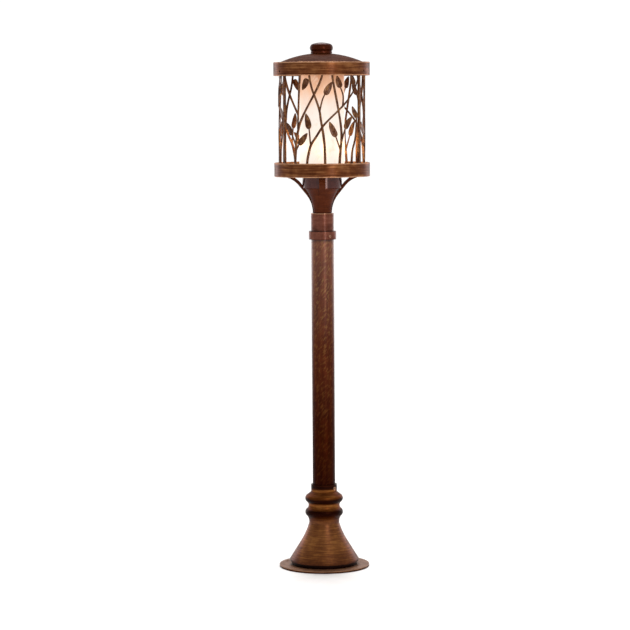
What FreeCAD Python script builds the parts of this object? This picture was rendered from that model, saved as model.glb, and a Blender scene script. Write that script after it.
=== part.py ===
import FreeCAD, Part
import math
import os
import Sketcher

# Garden lantern on a post: a ground plate, a bell foot, a round post, a flared neck with four
# arms, and a lantern with a pan, a cage of three twig-and-leaf panels, a glass cylinder, a bulb
# and a domed roof with a knob. Millimetres, +Z up, origin on the ground on the post's axis.
# +X is right of the front, -Y is the front.

DOC = FreeCAD.newDocument("GardenLantern")
SHEET = DOC.addObject("Spreadsheet::Sheet", "Sizes")

# Driving sizes, in mm, except turns, which are in degrees from the front and positive to the right.
DRIVING = {
    # ground plate
    "plate_radius": 101.6,
    "plate_thick": 5.0,
    "wire_hole_radius": 11.0,
    "anchor_circle_radius": 89.0,
    "anchor_hole_radius": 4.0,
    "anchor_turn": 10.0,
    # bell foot
    "bell_foot_radius": 74.0,
    "bell_foot_height": 8.0,
    "bell_rim_radius": 78.0,
    "bell_rim_height": 4.3,
    "bell_mid_radius": 53.0,
    "bell_mid_height": 40.3,
    "bell_flare_height": 81.7,
    "bell_flare_bend": 169.0,
    "bell_neck_wall": 8.9,
    "bell_neck_height": 18.0,
    "bell_neck_bend": 21.5,
    "bell_bead_wall": 14.6,
    "bell_bead_height": 14.0,
    "bell_bead_bend": 10.0,
    "bell_waist_height": 17.5,
    "bell_waist_bend": 10.4,
    "bell_shoulder_height": 8.2,
    "bell_collar_wall": 3.9,
    "bell_collar_height": 16.7,
    "bell_wall": 5.0,
    "bell_seat_height": 78.0,
    "bell_screw_inset": 10.0,
    "bell_boss_radius": 7.0,
    "bell_boss_height": 18.0,
    "bell_screw_radius": 2.5,
    "bell_screw_head_radius": 4.5,
    "bell_screw_head_height": 2.5,
    "base_screw_turn": 54.0,
    "base_screw_radius": 4.0,
    # post
    "post_radius": 25.4,
    "post_wall": 2.0,
    "post_free_length": 556.0,
    "post_seat_depth": 60.0,
    # coupler on top of the post
    "coupler_collar_wall": 5.2,
    "coupler_collar_height": 18.7,
    "coupler_sleeve_step": 0.1,
    "coupler_sleeve_height": 40.0,
    "coupler_wall": 3.5,
    "coupler_deck": 6.0,
    "coupler_socket_depth": 15.5,
    "collar_screw_turn": 34.0,
    "collar_screw_radius": 3.0,
    # neck casting
    "neck_foot_radius": 21.6,
    "neck_height": 57.0,
    "neck_rim_radius": 41.0,
    "neck_flare_bend": 85.0,
    "neck_wall": 4.0,
    "arm_width": 14.0,
    "arm_thick": 7.0,
    "arm_lower_bend": 63.0,
    "arm_upper_bend": 53.0,
    "arm_slope_turn": 38.7,
    "arm_end_setback": 1.0,
    "arm_screw_setback": 12.0,
    "arm_screw_radius": 2.0,
    # socket cup
    "cup_radius": 44.5,
    "cup_height": 29.5,
    "cup_wall": 3.0,
    # stem
    "stem_radius": 5.0,
    "stem_bore_radius": 3.5,
    "stem_nut_radius": 10.0,
    "stem_nut_height": 6.0,
    # pan
    "pan_wall": 3.5,
    "pan_band_height": 31.4,
    "pan_floor_lift": 4.0,
    "pan_floor_thick": 3.5,
    "pan_edge_round": 1.6,
    # cage
    "cage_radius": 98.0,
    "cage_air": 5.8,
    "cage_height": 240.7,
    "cage_rail_depth": 5.0,
    "cage_foot_rail_height": 14.0,
    "cage_head_rail_height": 14.0,
    "cage_screw_turn": 20.0,
    "rivet_setback": 5.0,
    "cage_bar_width": 3.5,
    "twig_radius": 2.1,
    "twig_knuckle_radius": 2.35,
    "leaf_width": 12.5,
    "leaf_thick": 3.0,
    "cage_screw_radius": 1.5,
    "cage_screw_depth": 10.0,
    "rivet_radius": 1.4,
    "rivet_head_radius": 2.2,
    "rivet_head_height": 1.2,
    # glass and its seat
    "glass_radius": 50.8,
    "glass_wall": 4.0,
    "glass_head_gap": 14.7,
    "gallery_thick": 2.0,
    "gallery_lip_height": 8.0,
    # lampholder and bulb
    "holder_wall": 5.0,
    "holder_height": 48.0,
    "holder_floor": 5.0,
    "holder_chamber_height": 6.0,
    "holder_partition": 3.0,
    "shell_wall": 0.7,
    "bulb_cap_radius": 13.0,
    "bulb_cap_height": 30.0,
    "bulb_radius": 30.0,
    "bulb_neck_length": 38.0,
    "bulb_glass_wall": 1.0,
    "contact_radius": 4.5,
    "contact_height": 2.5,
    # roof
    "roof_air": 6.5,
    "roof_shoulder_width": 12.2,
    "roof_wall": 3.5,
    "roof_skirt_height": 30.4,
    "roof_overlap": 23.4,
    "roof_edge_round": 1.6,
    "roof_ledge_width": 4.0,
    "roof_ledge_thick": 3.0,
    "dome_sphere_radius": 228.0,
    "dome_thick": 2.5,
    "roof_screw_radius": 2.2,
    "roof_screw_height": 9.9,
    # finial
    "finial_foot_radius": 24.0,
    "finial_foot_height": 4.6,
    "finial_foot_rim": 2.0,
    "finial_groove_radius": 22.8,
    "finial_groove_height": 0.7,
    "finial_side_radius": 24.6,
    "finial_side_height": 11.6,
    "finial_side_bend": 9.3,
    "finial_shoulder_radius": 19.4,
    "finial_shoulder_height": 4.5,
    "finial_shoulder_bend": 8.0,
    "finial_crown_height": 3.1,
    "finial_stud_radius": 3.0,
    # leads
    "lead_radius": 1.3,
    "connector_radius": 5.0,
    "connector_length": 22.0,
    "lead_foot_clearance": 12.0,
    # clearances
    "slip_gap": 0.3,
    "thread_gap": 0.1,
    "seat_gap": 0.05,
}


class Size:
    """A length or turn: the expression that the document keeps, and its value now."""

    def __init__(self, text, value):
        self.text = text
        self.value = value

    def joined(self, sign, other, value):
        return Size(f"({self.text} {sign} {as_size(other).text})", value)

    def __add__(self, other):
        return self.joined("+", other, self.value + as_size(other).value)

    def __sub__(self, other):
        return self.joined("-", other, self.value - as_size(other).value)

    def __mul__(self, other):
        return self.joined("*", other, self.value * as_size(other).value)

    def __truediv__(self, other):
        return self.joined("/", other, self.value / as_size(other).value)


def as_size(value):
    return value if isinstance(value, Size) else Size(f"({value})", float(value))


def cosine(turn):
    return Size(f"cos({turn.text} * 1deg)", math.cos(math.radians(turn.value)))


def sine(turn):
    return Size(f"sin({turn.text} * 1deg)", math.sin(math.radians(turn.value)))


def root(value):
    return Size(f"sqrt({value.text})", math.sqrt(value.value))


def fill_sheet():
    """Each driving size goes in column B with its name in column A and its alias."""
    sizes = {}
    for row, (alias, number) in enumerate(DRIVING.items(), start=1):
        SHEET.set(f"A{row}", alias)
        SHEET.set(f"B{row}", str(number))
        SHEET.setAlias(f"B{row}", alias)
        sizes[alias] = Size(f"Sizes.{alias}", number)
    DOC.recompute()
    return sizes


D = fill_sheet()
NODES = {}


# ---------------------------------------------------------------- radii that fit together
bell_neck_radius = D["post_radius"] + D["bell_neck_wall"]
bell_bead_radius = D["post_radius"] + D["bell_bead_wall"]
bell_collar_radius = D["post_radius"] + D["bell_collar_wall"]
bell_screw_across = D["bell_foot_radius"] - D["bell_screw_inset"]
coupler_collar_radius = D["post_radius"] + D["coupler_collar_wall"]
coupler_sleeve_radius = D["post_radius"] + D["coupler_sleeve_step"]
pan_radius = D["cage_radius"] + D["cage_air"] + D["pan_wall"]
roof_radius = D["cage_radius"] + D["roof_air"] + D["roof_wall"]
dome_radius = roof_radius - D["roof_shoulder_width"]
arm_reach = D["cage_radius"] - D["arm_end_setback"]
arm_screw_across = D["cage_radius"] - D["arm_screw_setback"]


# ---------------------------------------------------------------- levels up the axis
plate_top = D["plate_thick"]
bell_rim_low = plate_top + D["bell_foot_height"]
bell_rim_top = bell_rim_low + D["bell_rim_height"]
bell_neck_low = bell_rim_top + D["bell_flare_height"]
bead_2_low = bell_neck_low + D["bell_neck_height"]
bead_2_top = bead_2_low + D["bell_bead_height"]
bead_1_low = bead_2_top + D["bell_waist_height"]
bead_1_top = bead_1_low + D["bell_bead_height"]
bell_collar_low = bead_1_top + D["bell_shoulder_height"]
bell_top = bell_collar_low + D["bell_collar_height"]
post_low = bell_top - D["post_seat_depth"]
coupler_low = bell_top + D["post_free_length"]
coupler_step = coupler_low + D["coupler_collar_height"]
post_top = coupler_low + D["coupler_socket_depth"] - D["slip_gap"]
collar_screw_level = coupler_low + D["coupler_socket_depth"] / 2
base_screw_level = bell_collar_low + D["bell_collar_height"] / 2
coupler_top = coupler_step + D["coupler_sleeve_height"]
neck_top = coupler_top + D["neck_height"]
cup_top = neck_top + D["cup_height"]
pan_low = cup_top - D["pan_floor_lift"]
pan_floor = cup_top + D["pan_floor_thick"]
pan_top = pan_low + D["pan_band_height"]
cage_top = pan_floor + D["cage_height"]
roof_ledge = cage_top + D["slip_gap"]
roof_low = roof_ledge - D["roof_overlap"]
roof_top = roof_low + D["roof_skirt_height"]
dome_seat = roof_ledge + D["roof_ledge_thick"]


# ---------------------------------------------------------------- making features
LEFT = 1
RIGHT = -1


def origin_feature(body, role):
    return next(item for item in body.Origin.OriginFeatures if item.Role == role)


def new_body(label, turn=None):
    """A body that gives a node; turn rotates it about the post's axis, from the front."""
    body = DOC.addObject("PartDesign::Body", label)
    body.Label = label
    if turn is not None:
        body.Placement = FreeCAD.Placement(
            FreeCAD.Vector(), FreeCAD.Rotation(FreeCAD.Vector(0, 0, 1), turn.value))
        body.setExpression("Placement.Rotation.Angle", turn.text)
    NODES[label] = body
    return body


def new_sketch(body, name, plane, lift=None):
    """A sketch on one of the body's origin planes, lifted along the plane's normal."""
    sketch = body.newObject("Sketcher::SketchObject", name)
    sketch.AttachmentSupport = [(origin_feature(body, plane), "")]
    sketch.MapMode = "FlatFace"
    if lift is not None:
        sketch.AttachmentOffset = FreeCAD.Placement(
            FreeCAD.Vector(0, 0, lift.value), FreeCAD.Rotation())
        sketch.setExpression("AttachmentOffset.Base.z", lift.text)
    return sketch


def bind(sketch, constraint, name, size):
    index = sketch.addConstraint(constraint)
    sketch.renameConstraint(index, name)
    sketch.setExpression(f"Constraints.{name}", size.text)


def arc_between(start, end, bend, side):
    """The shorter arc from start to end whose centre is on the named side of the way."""
    chord = end - start
    height = math.sqrt(bend ** 2 - (chord.Length / 2) ** 2)
    across = FreeCAD.Vector(-chord.y, chord.x, 0) * (side * height / chord.Length)
    centre = (start + end) * 0.5 + across
    first, last = (start, end) if side == LEFT else (end, start)
    angles = [math.atan2(point.y - centre.y, point.x - centre.x) for point in (first, last)]
    circle = Part.Circle(centre, FreeCAD.Vector(0, 0, 1), bend)
    return Part.ArcOfCircle(circle, *angles)


def draw_outline(sketch, corners):
    """A closed outline. A corner is (across, up), or (across, up, bend, side) where an arc
    with that bend radius and its centre on that side arrives."""
    corners = [tuple(as_size(v) for v in c[:3]) + tuple(c[3:]) for c in corners]
    points = [FreeCAD.Vector(c[0].value, c[1].value, 0) for c in corners]
    ends = []
    for index, corner in enumerate(corners):
        start, end = points[index - 1], points[index]
        if len(corner) == 2:
            sketch.addGeometry(Part.LineSegment(start, end), False)
            ends.append((1, 2))
            continue
        bend, side = corner[2:]
        sketch.addGeometry(arc_between(start, end, bend.value, side), False)
        ends.append((1, 2) if side == LEFT else (2, 1))
        bind(sketch, Sketcher.Constraint("Radius", index, bend.value), f"bend_{index}", bend)
    count = len(corners)
    for index in range(count):
        following = (index + 1) % count
        sketch.addConstraint(Sketcher.Constraint(
            "Coincident", index, ends[index][1], following, ends[following][0]))
    for index, corner in enumerate(corners):
        place_point(sketch, index, ends[index][1], corner[0], corner[1], str(index))


def place_point(sketch, item, end, across, up, name):
    """Holds one point of the sketch at its distances from the sketch's axes."""
    for kind, axis, size in (("DistanceX", -2, across), ("DistanceY", -1, up)):
        if size.value == 0:
            sketch.addConstraint(Sketcher.Constraint("PointOnObject", item, end, axis))
        else:
            bind(sketch, Sketcher.Constraint(kind, -1, 1, item, end, size.value),
                 f"{kind.lower()}_{name}", size)


def turned(body, name, corners):
    """A solid turned about the post's axis."""
    sketch = new_sketch(body, f"{name}_outline", "XZ_Plane")
    draw_outline(sketch, corners)
    feature = body.newObject("PartDesign::Revolution", name)
    feature.Profile = sketch
    feature.ReferenceAxis = (sketch, ["V_Axis"])
    feature.Angle = 360
    return feature


def circle_sketch(body, name, plane, lift, across, up, radius):
    sketch = new_sketch(body, f"{name}_circle", plane, lift)
    centre = FreeCAD.Vector(across.value, up.value, 0)
    item = sketch.addGeometry(
        Part.Circle(centre, FreeCAD.Vector(0, 0, 1), radius.value), False)
    place_point(sketch, item, 3, across, up, "centre")
    bind(sketch, Sketcher.Constraint("Radius", item, radius.value), "radius", radius)
    return sketch


def disc(body, name, radius, low, high, across=0, up=0):
    """A round pad from one level to another, on the axis or beside it."""
    sketch = circle_sketch(body, name, "XY_Plane", low, as_size(across), as_size(up), radius)
    return padded(body, name, sketch, high - low)


def cross_rod(body, name, radius, level, inner, outer):
    """A round pad that lies along the body's own +X, between two distances from the axis."""
    sketch = circle_sketch(body, name, "YZ_Plane", inner, as_size(0), level, radius)
    return padded(body, name, sketch, outer - inner)


def side_rod(body, name, radius, lift, length, across, level):
    """A round pad along the body's own -Y, that starts at a lift from its XZ plane."""
    sketch = circle_sketch(body, name, "XZ_Plane", lift, across, level, radius)
    return padded(body, name, sketch, length)


def padded(body, name, sketch, length):
    feature = body.newObject("PartDesign::Pad", name)
    feature.Profile = sketch
    feature.setExpression("Length", length.text)
    return feature


def bore(body, name, radius, low, high, across=0, up=0):
    """A round hole cut down from its high level to its low one."""
    sketch = circle_sketch(body, name, "XY_Plane", high, as_size(across), as_size(up), radius)
    return pocketed(body, name, sketch, high - low)


def cross_bore(body, name, radius, level, inner, outer):
    """A round hole along the body's own +X, between two distances from the axis."""
    sketch = circle_sketch(body, name, "YZ_Plane", outer, as_size(0), level, radius)
    return pocketed(body, name, sketch, outer - inner)


def pocketed(body, name, sketch, length):
    DOC.recompute()
    before = body.Shape.Volume
    feature = body.newObject("PartDesign::Pocket", name)
    feature.Profile = sketch
    feature.setExpression("Length", length.text)
    DOC.recompute()
    if body.Shape.Volume > before - 0.1:
        raise RuntimeError(f"{name} cuts nothing")
    return feature


def repeated(body, name, features, count):
    """The features again, evenly round the post's axis."""
    pattern = body.newObject("PartDesign::PolarPattern", name)
    pattern.Originals = features
    pattern.Axis = (origin_feature(body, "Z_Axis"), [""])
    pattern.Angle = 360
    pattern.Occurrences = count
    body.Tip = pattern
    return pattern


def right_of_front(turn):
    """The turn from +X that a body needs for its own +X to lie at a turn from the front."""
    return turn - 90.0


# ---------------------------------------------------------------- stand
def make_base_plate():
    body = new_body("base_plate", right_of_front(D["anchor_turn"]))
    disc(body, "plate_disc", D["plate_radius"], as_size(0), plate_top)
    bore(body, "wire_hole", D["wire_hole_radius"], as_size(0), plate_top)
    anchor = bore(body, "anchor_hole", D["anchor_hole_radius"], as_size(0), plate_top,
                  D["anchor_circle_radius"])
    repeated(body, "anchor_holes", [anchor], 3)
    past_anchor = D["base_screw_turn"] - D["anchor_turn"]
    place = (bell_screw_across * cosine(past_anchor),
             bell_screw_across * sine(past_anchor))
    screw_hole = bore(body, "screw_hole", D["bell_screw_radius"] + D["seat_gap"], as_size(0),
                      plate_top, *place)
    head_hole = bore(body, "screw_head_hole", D["bell_screw_head_radius"] + D["slip_gap"],
                     as_size(0), D["bell_screw_head_height"], *place)
    repeated(body, "screw_holes", [screw_hole, head_hole], 3)


def make_bell_base():
    wall = D["bell_wall"]
    inner_foot = D["bell_foot_radius"] - wall
    seat_radius = D["post_radius"] - D["post_wall"]
    seat_low = bell_rim_top + D["bell_seat_height"]
    bead = bell_bead_radius
    body = new_body("bell_base", right_of_front(D["base_screw_turn"]))
    turned(body, "bell_casting", [
        (inner_foot, plate_top),
        (D["bell_foot_radius"], plate_top),
        (D["bell_foot_radius"], bell_rim_low),
        (D["bell_rim_radius"], bell_rim_low),
        (D["bell_rim_radius"], bell_rim_top),
        (D["bell_mid_radius"], bell_rim_top + D["bell_mid_height"]),
        (bell_neck_radius, bell_neck_low, D["bell_flare_bend"], RIGHT),
        (bead, bead_2_low, D["bell_neck_bend"], RIGHT),
        (bead, bead_2_top, D["bell_bead_bend"], LEFT),
        (bead, bead_1_low, D["bell_waist_bend"], RIGHT),
        (bead, bead_1_top, D["bell_bead_bend"], LEFT),
        (bell_collar_radius, bell_collar_low),
        (bell_collar_radius, bell_top),
        (D["post_radius"] + D["seat_gap"], bell_top),
        (D["post_radius"] + D["seat_gap"], post_low),
        (seat_radius, post_low),
        (seat_radius, seat_low),
        (bell_neck_radius - wall, seat_low),
        (D["bell_mid_radius"] - wall, bell_rim_top + D["bell_mid_height"]),
        (inner_foot, bell_rim_top),
    ])
    boss_top = plate_top + D["bell_boss_height"]
    boss = disc(body, "screw_boss", D["bell_boss_radius"], plate_top, boss_top,
                bell_screw_across)
    hole = bore(body, "boss_hole", D["bell_screw_radius"] + D["seat_gap"], plate_top,
                boss_top - D["bell_wall"], bell_screw_across)
    repeated(body, "screw_bosses", [boss, hole], 3)
    cross_bore(body, "set_screw_hole", D["base_screw_radius"] + D["thread_gap"],
               base_screw_level, D["post_radius"], bell_collar_radius + D["slip_gap"])


def make_bell_screws():
    body = new_body("bell_screws", right_of_front(D["base_screw_turn"]))
    across = bell_screw_across
    head = disc(body, "head", D["bell_screw_head_radius"], as_size(0) + D["seat_gap"],
                D["bell_screw_head_height"], across)
    tip = plate_top + D["bell_boss_height"] - D["bell_wall"] - D["slip_gap"]
    shank = disc(body, "shank", D["bell_screw_radius"], D["bell_screw_head_height"], tip, across)
    repeated(body, "screws", [head, shank], 3)


def make_set_screw(label, turn, radius, level, tip, head):
    """A set screw that points at the axis, with a round socket in its outer end."""
    body = new_body(label, right_of_front(turn))
    cross_rod(body, "thread", radius, level, tip, head)
    cross_bore(body, "socket", radius * 0.55, level, head - radius * 0.7, head)


def make_post_tube():
    body = new_body("post_tube")
    disc(body, "post_rod", D["post_radius"], post_low, post_top)
    bore(body, "post_bore", D["post_radius"] - D["post_wall"], post_low, post_top)


def make_post_coupler():
    socket = D["post_radius"] + D["slip_gap"]
    inner = coupler_sleeve_radius - D["coupler_wall"]
    step = coupler_low + D["coupler_socket_depth"]
    deck = coupler_top - D["coupler_deck"]
    stem_hole = D["stem_radius"] + D["seat_gap"]
    body = new_body("post_coupler", right_of_front(D["collar_screw_turn"]))
    turned(body, "coupler_casting", [
        (socket, coupler_low),
        (coupler_collar_radius, coupler_low),
        (coupler_collar_radius, coupler_step),
        (coupler_sleeve_radius, coupler_step),
        (coupler_sleeve_radius, coupler_top),
        (stem_hole, coupler_top),
        (stem_hole, deck),
        (inner, deck),
        (inner, step),
        (socket, step),
    ])
    cross_bore(body, "set_screw_hole", D["collar_screw_radius"] + D["thread_gap"],
               collar_screw_level, D["post_radius"],
               coupler_collar_radius + D["slip_gap"])


# ---------------------------------------------------------------- neck
def make_neck_casting():
    """The flared trumpet, and four arms that run up it and out under the pan."""
    wall = D["neck_wall"]
    foot = D["neck_foot_radius"]
    stem_hole = D["stem_radius"] + D["seat_gap"]
    body = new_body("neck_casting")
    turned(body, "trumpet", [
        (foot - wall, coupler_top),
        (foot, coupler_top),
        (D["neck_rim_radius"], neck_top - wall / 2, D["neck_flare_bend"], RIGHT),
        (D["neck_rim_radius"], neck_top),
        (stem_hole, neck_top),
        (stem_hole, neck_top - wall),
        (D["neck_rim_radius"] - wall, neck_top - wall),
        (foot - wall, coupler_top + wall, D["neck_flare_bend"] + wall, LEFT),
    ])
    turn = D["arm_slope_turn"]
    thick = D["arm_thick"]
    lower = D["arm_lower_bend"]
    upper = D["arm_upper_bend"]
    start_level = coupler_top + wall / 2
    slope_1 = foot + lower * (as_size(1) - cosine(turn))
    level_1 = start_level + lower * sine(turn)
    level_2 = pan_low - upper * (as_size(1) - sine(turn))
    slope_2 = slope_1 + (level_2 - level_1) * sine(turn) / cosine(turn)
    crest = slope_2 + upper * cosine(turn)
    outer_bend = upper + thick
    rise = upper + D["pan_floor_lift"]
    meets_pan = crest - root(outer_bend * outer_bend - rise * rise)
    sketch = new_sketch(body, "arm_outline", "XZ_Plane")
    draw_outline(sketch, [
        (foot - wall / 2, start_level),
        (foot, start_level),
        (slope_1, level_1, lower, RIGHT),
        (slope_2, level_2),
        (crest, pan_low, upper, RIGHT),
        (arm_reach, pan_low),
        (arm_reach, cup_top),
        (meets_pan, cup_top),
        (slope_2 - thick * cosine(turn), level_2 + thick * sine(turn), outer_bend, LEFT),
        (slope_1 - thick * cosine(turn), level_1 + thick * sine(turn)),
    ])
    arm = body.newObject("PartDesign::Pad", "arm")
    arm.Profile = sketch
    arm.setExpression("Length", D["arm_width"].text)
    arm.SideType = "Symmetric"
    hole = bore(body, "arm_screw_hole", D["arm_screw_radius"] + D["seat_gap"],
                pan_low + 1.0, cup_top, arm_screw_across)
    repeated(body, "arms", [arm, hole], 4)
    bore(body, "cup_seat", D["cup_radius"] + D["slip_gap"], neck_top, cup_top + 1.0)


def make_socket_cup():
    wall = D["cup_wall"]
    stem_hole = D["stem_radius"] + D["seat_gap"]
    body = new_body("socket_cup")
    turned(body, "cup", [
        (stem_hole, neck_top),
        (D["cup_radius"], neck_top),
        (D["cup_radius"], cup_top),
        (D["cup_radius"] - wall, cup_top),
        (D["cup_radius"] - wall, neck_top + wall),
        (stem_hole, neck_top + wall),
    ])


stem_low = coupler_top - D["coupler_deck"] - D["stem_nut_height"] - 3.0
holder_low = pan_floor + D["stem_nut_height"]
holder_floor_top = holder_low + D["holder_floor"]
stem_top = holder_floor_top - 1.0


def make_stem_nipple():
    body = new_body("stem_nipple")
    disc(body, "nipple_rod", D["stem_radius"], stem_low, stem_top)
    bore(body, "nipple_bore", D["stem_bore_radius"], stem_low, stem_top)


def hex_nut(name, circumradius, hole_radius, low, height):
    """A hexagon prism with a round hole, standing on the axis."""
    prism = DOC.addObject("Part::Prism", f"{name}_hexagon")
    prism.Polygon = 6
    prism.setExpression("Circumradius", circumradius.text)
    prism.setExpression("Height", height.text)
    prism.setExpression("Placement.Base.z", low.text)
    hole = DOC.addObject("Part::Cylinder", f"{name}_hole")
    hole.setExpression("Radius", hole_radius.text)
    hole.setExpression("Height", height.text)
    hole.setExpression("Placement.Base.z", low.text)
    nut = DOC.addObject("Part::Cut", name)
    nut.Base = prism
    nut.Tool = hole
    return nut


def make_stem_nuts():
    hole = D["stem_radius"] + D["seat_gap"]
    deck = coupler_top - D["coupler_deck"]
    lower = hex_nut("lower_nut", D["stem_nut_radius"], hole, deck - D["stem_nut_height"],
                    D["stem_nut_height"])
    upper = hex_nut("upper_nut", D["stem_nut_radius"], hole, pan_floor, D["stem_nut_height"])
    pair = DOC.addObject("Part::Compound", "stem_nuts")
    pair.Links = [lower, upper]
    NODES["stem_nuts"] = pair


# ---------------------------------------------------------------- pan
cage_middle = D["cage_radius"] - D["cage_rail_depth"] / 2
cage_screw_across = cage_middle * cosine(D["cage_screw_turn"])
cage_screw_aside = cage_middle * sine(D["cage_screw_turn"])


def make_lantern_pan():
    rim_inner = pan_radius - D["pan_wall"]
    stem_hole = D["stem_radius"] + D["seat_gap"]
    edge = D["pan_edge_round"]
    front = right_of_front(as_size(0))
    body = new_body("lantern_pan", front)
    turned(body, "pan", [
        (stem_hole, cup_top),
        (rim_inner, cup_top),
        (rim_inner, pan_low),
        (pan_radius - edge, pan_low),
        (pan_radius, pan_low + edge, edge, LEFT),
        (pan_radius, pan_top - edge),
        (pan_radius - edge, pan_top, edge, LEFT),
        (rim_inner, pan_top),
        (rim_inner, pan_floor),
        (stem_hole, pan_floor),
    ])
    arm_hole = bore(body, "arm_screw_hole", D["arm_screw_radius"] + D["seat_gap"], cup_top,
                    pan_floor, arm_screw_across)
    repeated(body, "arm_screw_holes", [arm_hole], 4)
    cage_hole = bore(body, "cage_screw_hole", D["cage_screw_radius"] + D["seat_gap"], cup_top,
                     pan_floor, cage_screw_across, cage_screw_aside)
    repeated(body, "cage_screw_holes", [cage_hole], 6)


def make_arm_screws():
    body = new_body("arm_screws")
    across = arm_screw_across
    head = disc(body, "head", D["arm_screw_radius"] * 1.8, pan_floor,
                pan_floor + D["arm_screw_radius"], across)
    shank = disc(body, "shank", D["arm_screw_radius"], pan_low + 1.0 + D["slip_gap"], pan_floor,
                 across)
    repeated(body, "screws", [head, shank], 4)


# ---------------------------------------------------------------- cage
# The pattern of one panel: (turn from the panel's middle in degrees, share of the cage's height
# in hundredths). Every panel is alike.
TWIGS = [
    [(4, 2), (4, 21), (2.3, 33.4), (0.5, 42), (-1.8, 50.3), (-2.7, 58), (-9.5, 71.5),
     (-13.2, 77.3), (-17, 89), (-17.5, 98)],
    [(-2.7, 58), (-0.5, 65.6), (2.6, 71.5), (5, 74)],
    [(-21, 2), (-20.8, 10), (-18.7, 18.3), (-15.5, 26.8), (-8.6, 33.4), (-0.2, 42.8), (7.2, 48.6),
     (22.2, 57.9), (30.4, 63), (37.6, 68), (51.3, 78), (57.8, 87)],
    [(-15.5, 26.8), (-16.2, 34), (-17.5, 44)],
    [(23.5, 2), (23.8, 10), (25.2, 20.8), (26.8, 30), (27.1, 38), (25.4, 48), (22.9, 57.7),
     (20.3, 67.3), (17.3, 77.3), (14, 90), (13, 98)],
    [(25.2, 20.8), (22.4, 27), (17.5, 36)],
    [(26.8, 30), (29.3, 35.5), (33, 43)],
    [(1.8, 98), (1.4, 91), (-3.4, 82.3), (-9.5, 74), (-17.1, 64.8), (-24.2, 56.1), (-30.4, 47.8),
     (-34.1, 39.5), (-36.4, 31.6), (-37.9, 20.8), (-40, 2)],
    [(-37.8, 21), (-31, 28.5)],
    [(-37.1, 26), (-40, 31.5), (-44.5, 37.5)],
    [(-30, 98), (-30.6, 89), (-32.2, 72.7), (-32.9, 58.6), (-34.2, 44.5), (-33.8, 40)],
    [(43, 2), (43.5, 21), (47.9, 26.6), (52.2, 35.7), (54, 53)],
    [(28.7, 62), (30, 69), (28.5, 75), (24.5, 80.5)],
    [(51.3, 78), (48, 84)],
    [(-16.3, 86), (-20.5, 86)],
]
# Each leaf: its base, then its tip.
LEAVES = [
    ((4.3, 72.7), (13.5, 84.3)),
    ((-17.3, 41.5), (-21.6, 55.7)),
    ((18.7, 34.1), (9.6, 48.2)),
    ((31.5, 41.5), (43.7, 52.8)),
    ((-32.6, 27), (-19.3, 37.8)),
    ((-43.3, 36.1), (-56.2, 47.8)),
    ((54.6, 51.3), (43.7, 62)),
    ((25.3, 79), (20.3, 90)),
    ((-19.6, 87.5), (-26.3, 77)),
    ((49, 82), (42, 92)),
]
PANEL_TURN = 120.0


def on_cage(turn, share, radius):
    """A point of the front panel's pattern at a distance from the axis."""
    angle = math.radians(turn)
    level = pan_floor.value + D["cage_height"].value * share / 100
    return FreeCAD.Vector(radius * math.sin(angle), -radius * math.cos(angle), level)


def twig(waypoints, radius, knuckle):
    """Straight rods from point to point, with a slightly thicker knuckle at each point."""
    middle = D["cage_radius"].value - knuckle
    points = [on_cage(turn, share, middle) for turn, share in waypoints]
    solids = [Part.makeSphere(knuckle, point) for point in points]
    for start, end in zip(points, points[1:]):
        solids.append(Part.makeCylinder(radius, (end - start).Length, start, end - start))
    return solids


def leaf(base_place, tip_place):
    """A flat leaf with two round edges, tangent to the cage."""
    thick = D["leaf_thick"].value
    radius = D["cage_radius"].value - D["twig_knuckle_radius"].value
    base = on_cage(*base_place, radius)
    tip = on_cage(*tip_place, radius)
    middle = (base + tip) * 0.5
    outward = FreeCAD.Vector(middle.x, middle.y, 0).normalize()
    aside = outward.cross(tip - base).normalize() * (D["leaf_width"].value / 2)
    edges = [Part.Arc(base, middle + aside, tip).toShape(),
             Part.Arc(tip, middle - aside, base).toShape()]
    blade = Part.Face(Part.Wire(edges))
    blade.translate(outward * (-thick / 2))
    return blade.extrude(outward * thick)


def rail(low, height):
    """A curved bar over the panel's turn, short of each seam by the seat gap."""
    outer = D["cage_radius"].value
    inner = outer - D["cage_rail_depth"].value
    spare = math.degrees(D["seat_gap"].value / inner)
    sweep = PANEL_TURN - 2 * spare
    foot = FreeCAD.Vector(0, 0, low)
    up = FreeCAD.Vector(0, 0, 1)
    bar = Part.makeCylinder(outer, height, foot, up, sweep)
    bar = bar.cut(Part.makeCylinder(inner, height, foot, up))
    bar.rotate(FreeCAD.Vector(), up, -90 - sweep / 2)
    return bar


def seam_bar(side):
    """An upright bar beside the seam at one end of the panel; side is 1 on the right."""
    depth = D["cage_rail_depth"].value
    width = D["cage_bar_width"].value
    gap = D["seat_gap"].value
    bar = Part.makeBox(width, depth, D["cage_height"].value)
    shift = gap if side < 0 else -gap - width
    bar.translate(FreeCAD.Vector(shift, -D["cage_radius"].value + 0.1, pan_floor.value))
    bar.rotate(FreeCAD.Vector(), FreeCAD.Vector(0, 0, 1), side * PANEL_TURN / 2)
    return bar


rivet_low = pan_floor + D["cage_foot_rail_height"] + D["rivet_setback"]
rivet_high = cage_top - D["cage_head_rail_height"] - D["rivet_setback"]


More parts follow.
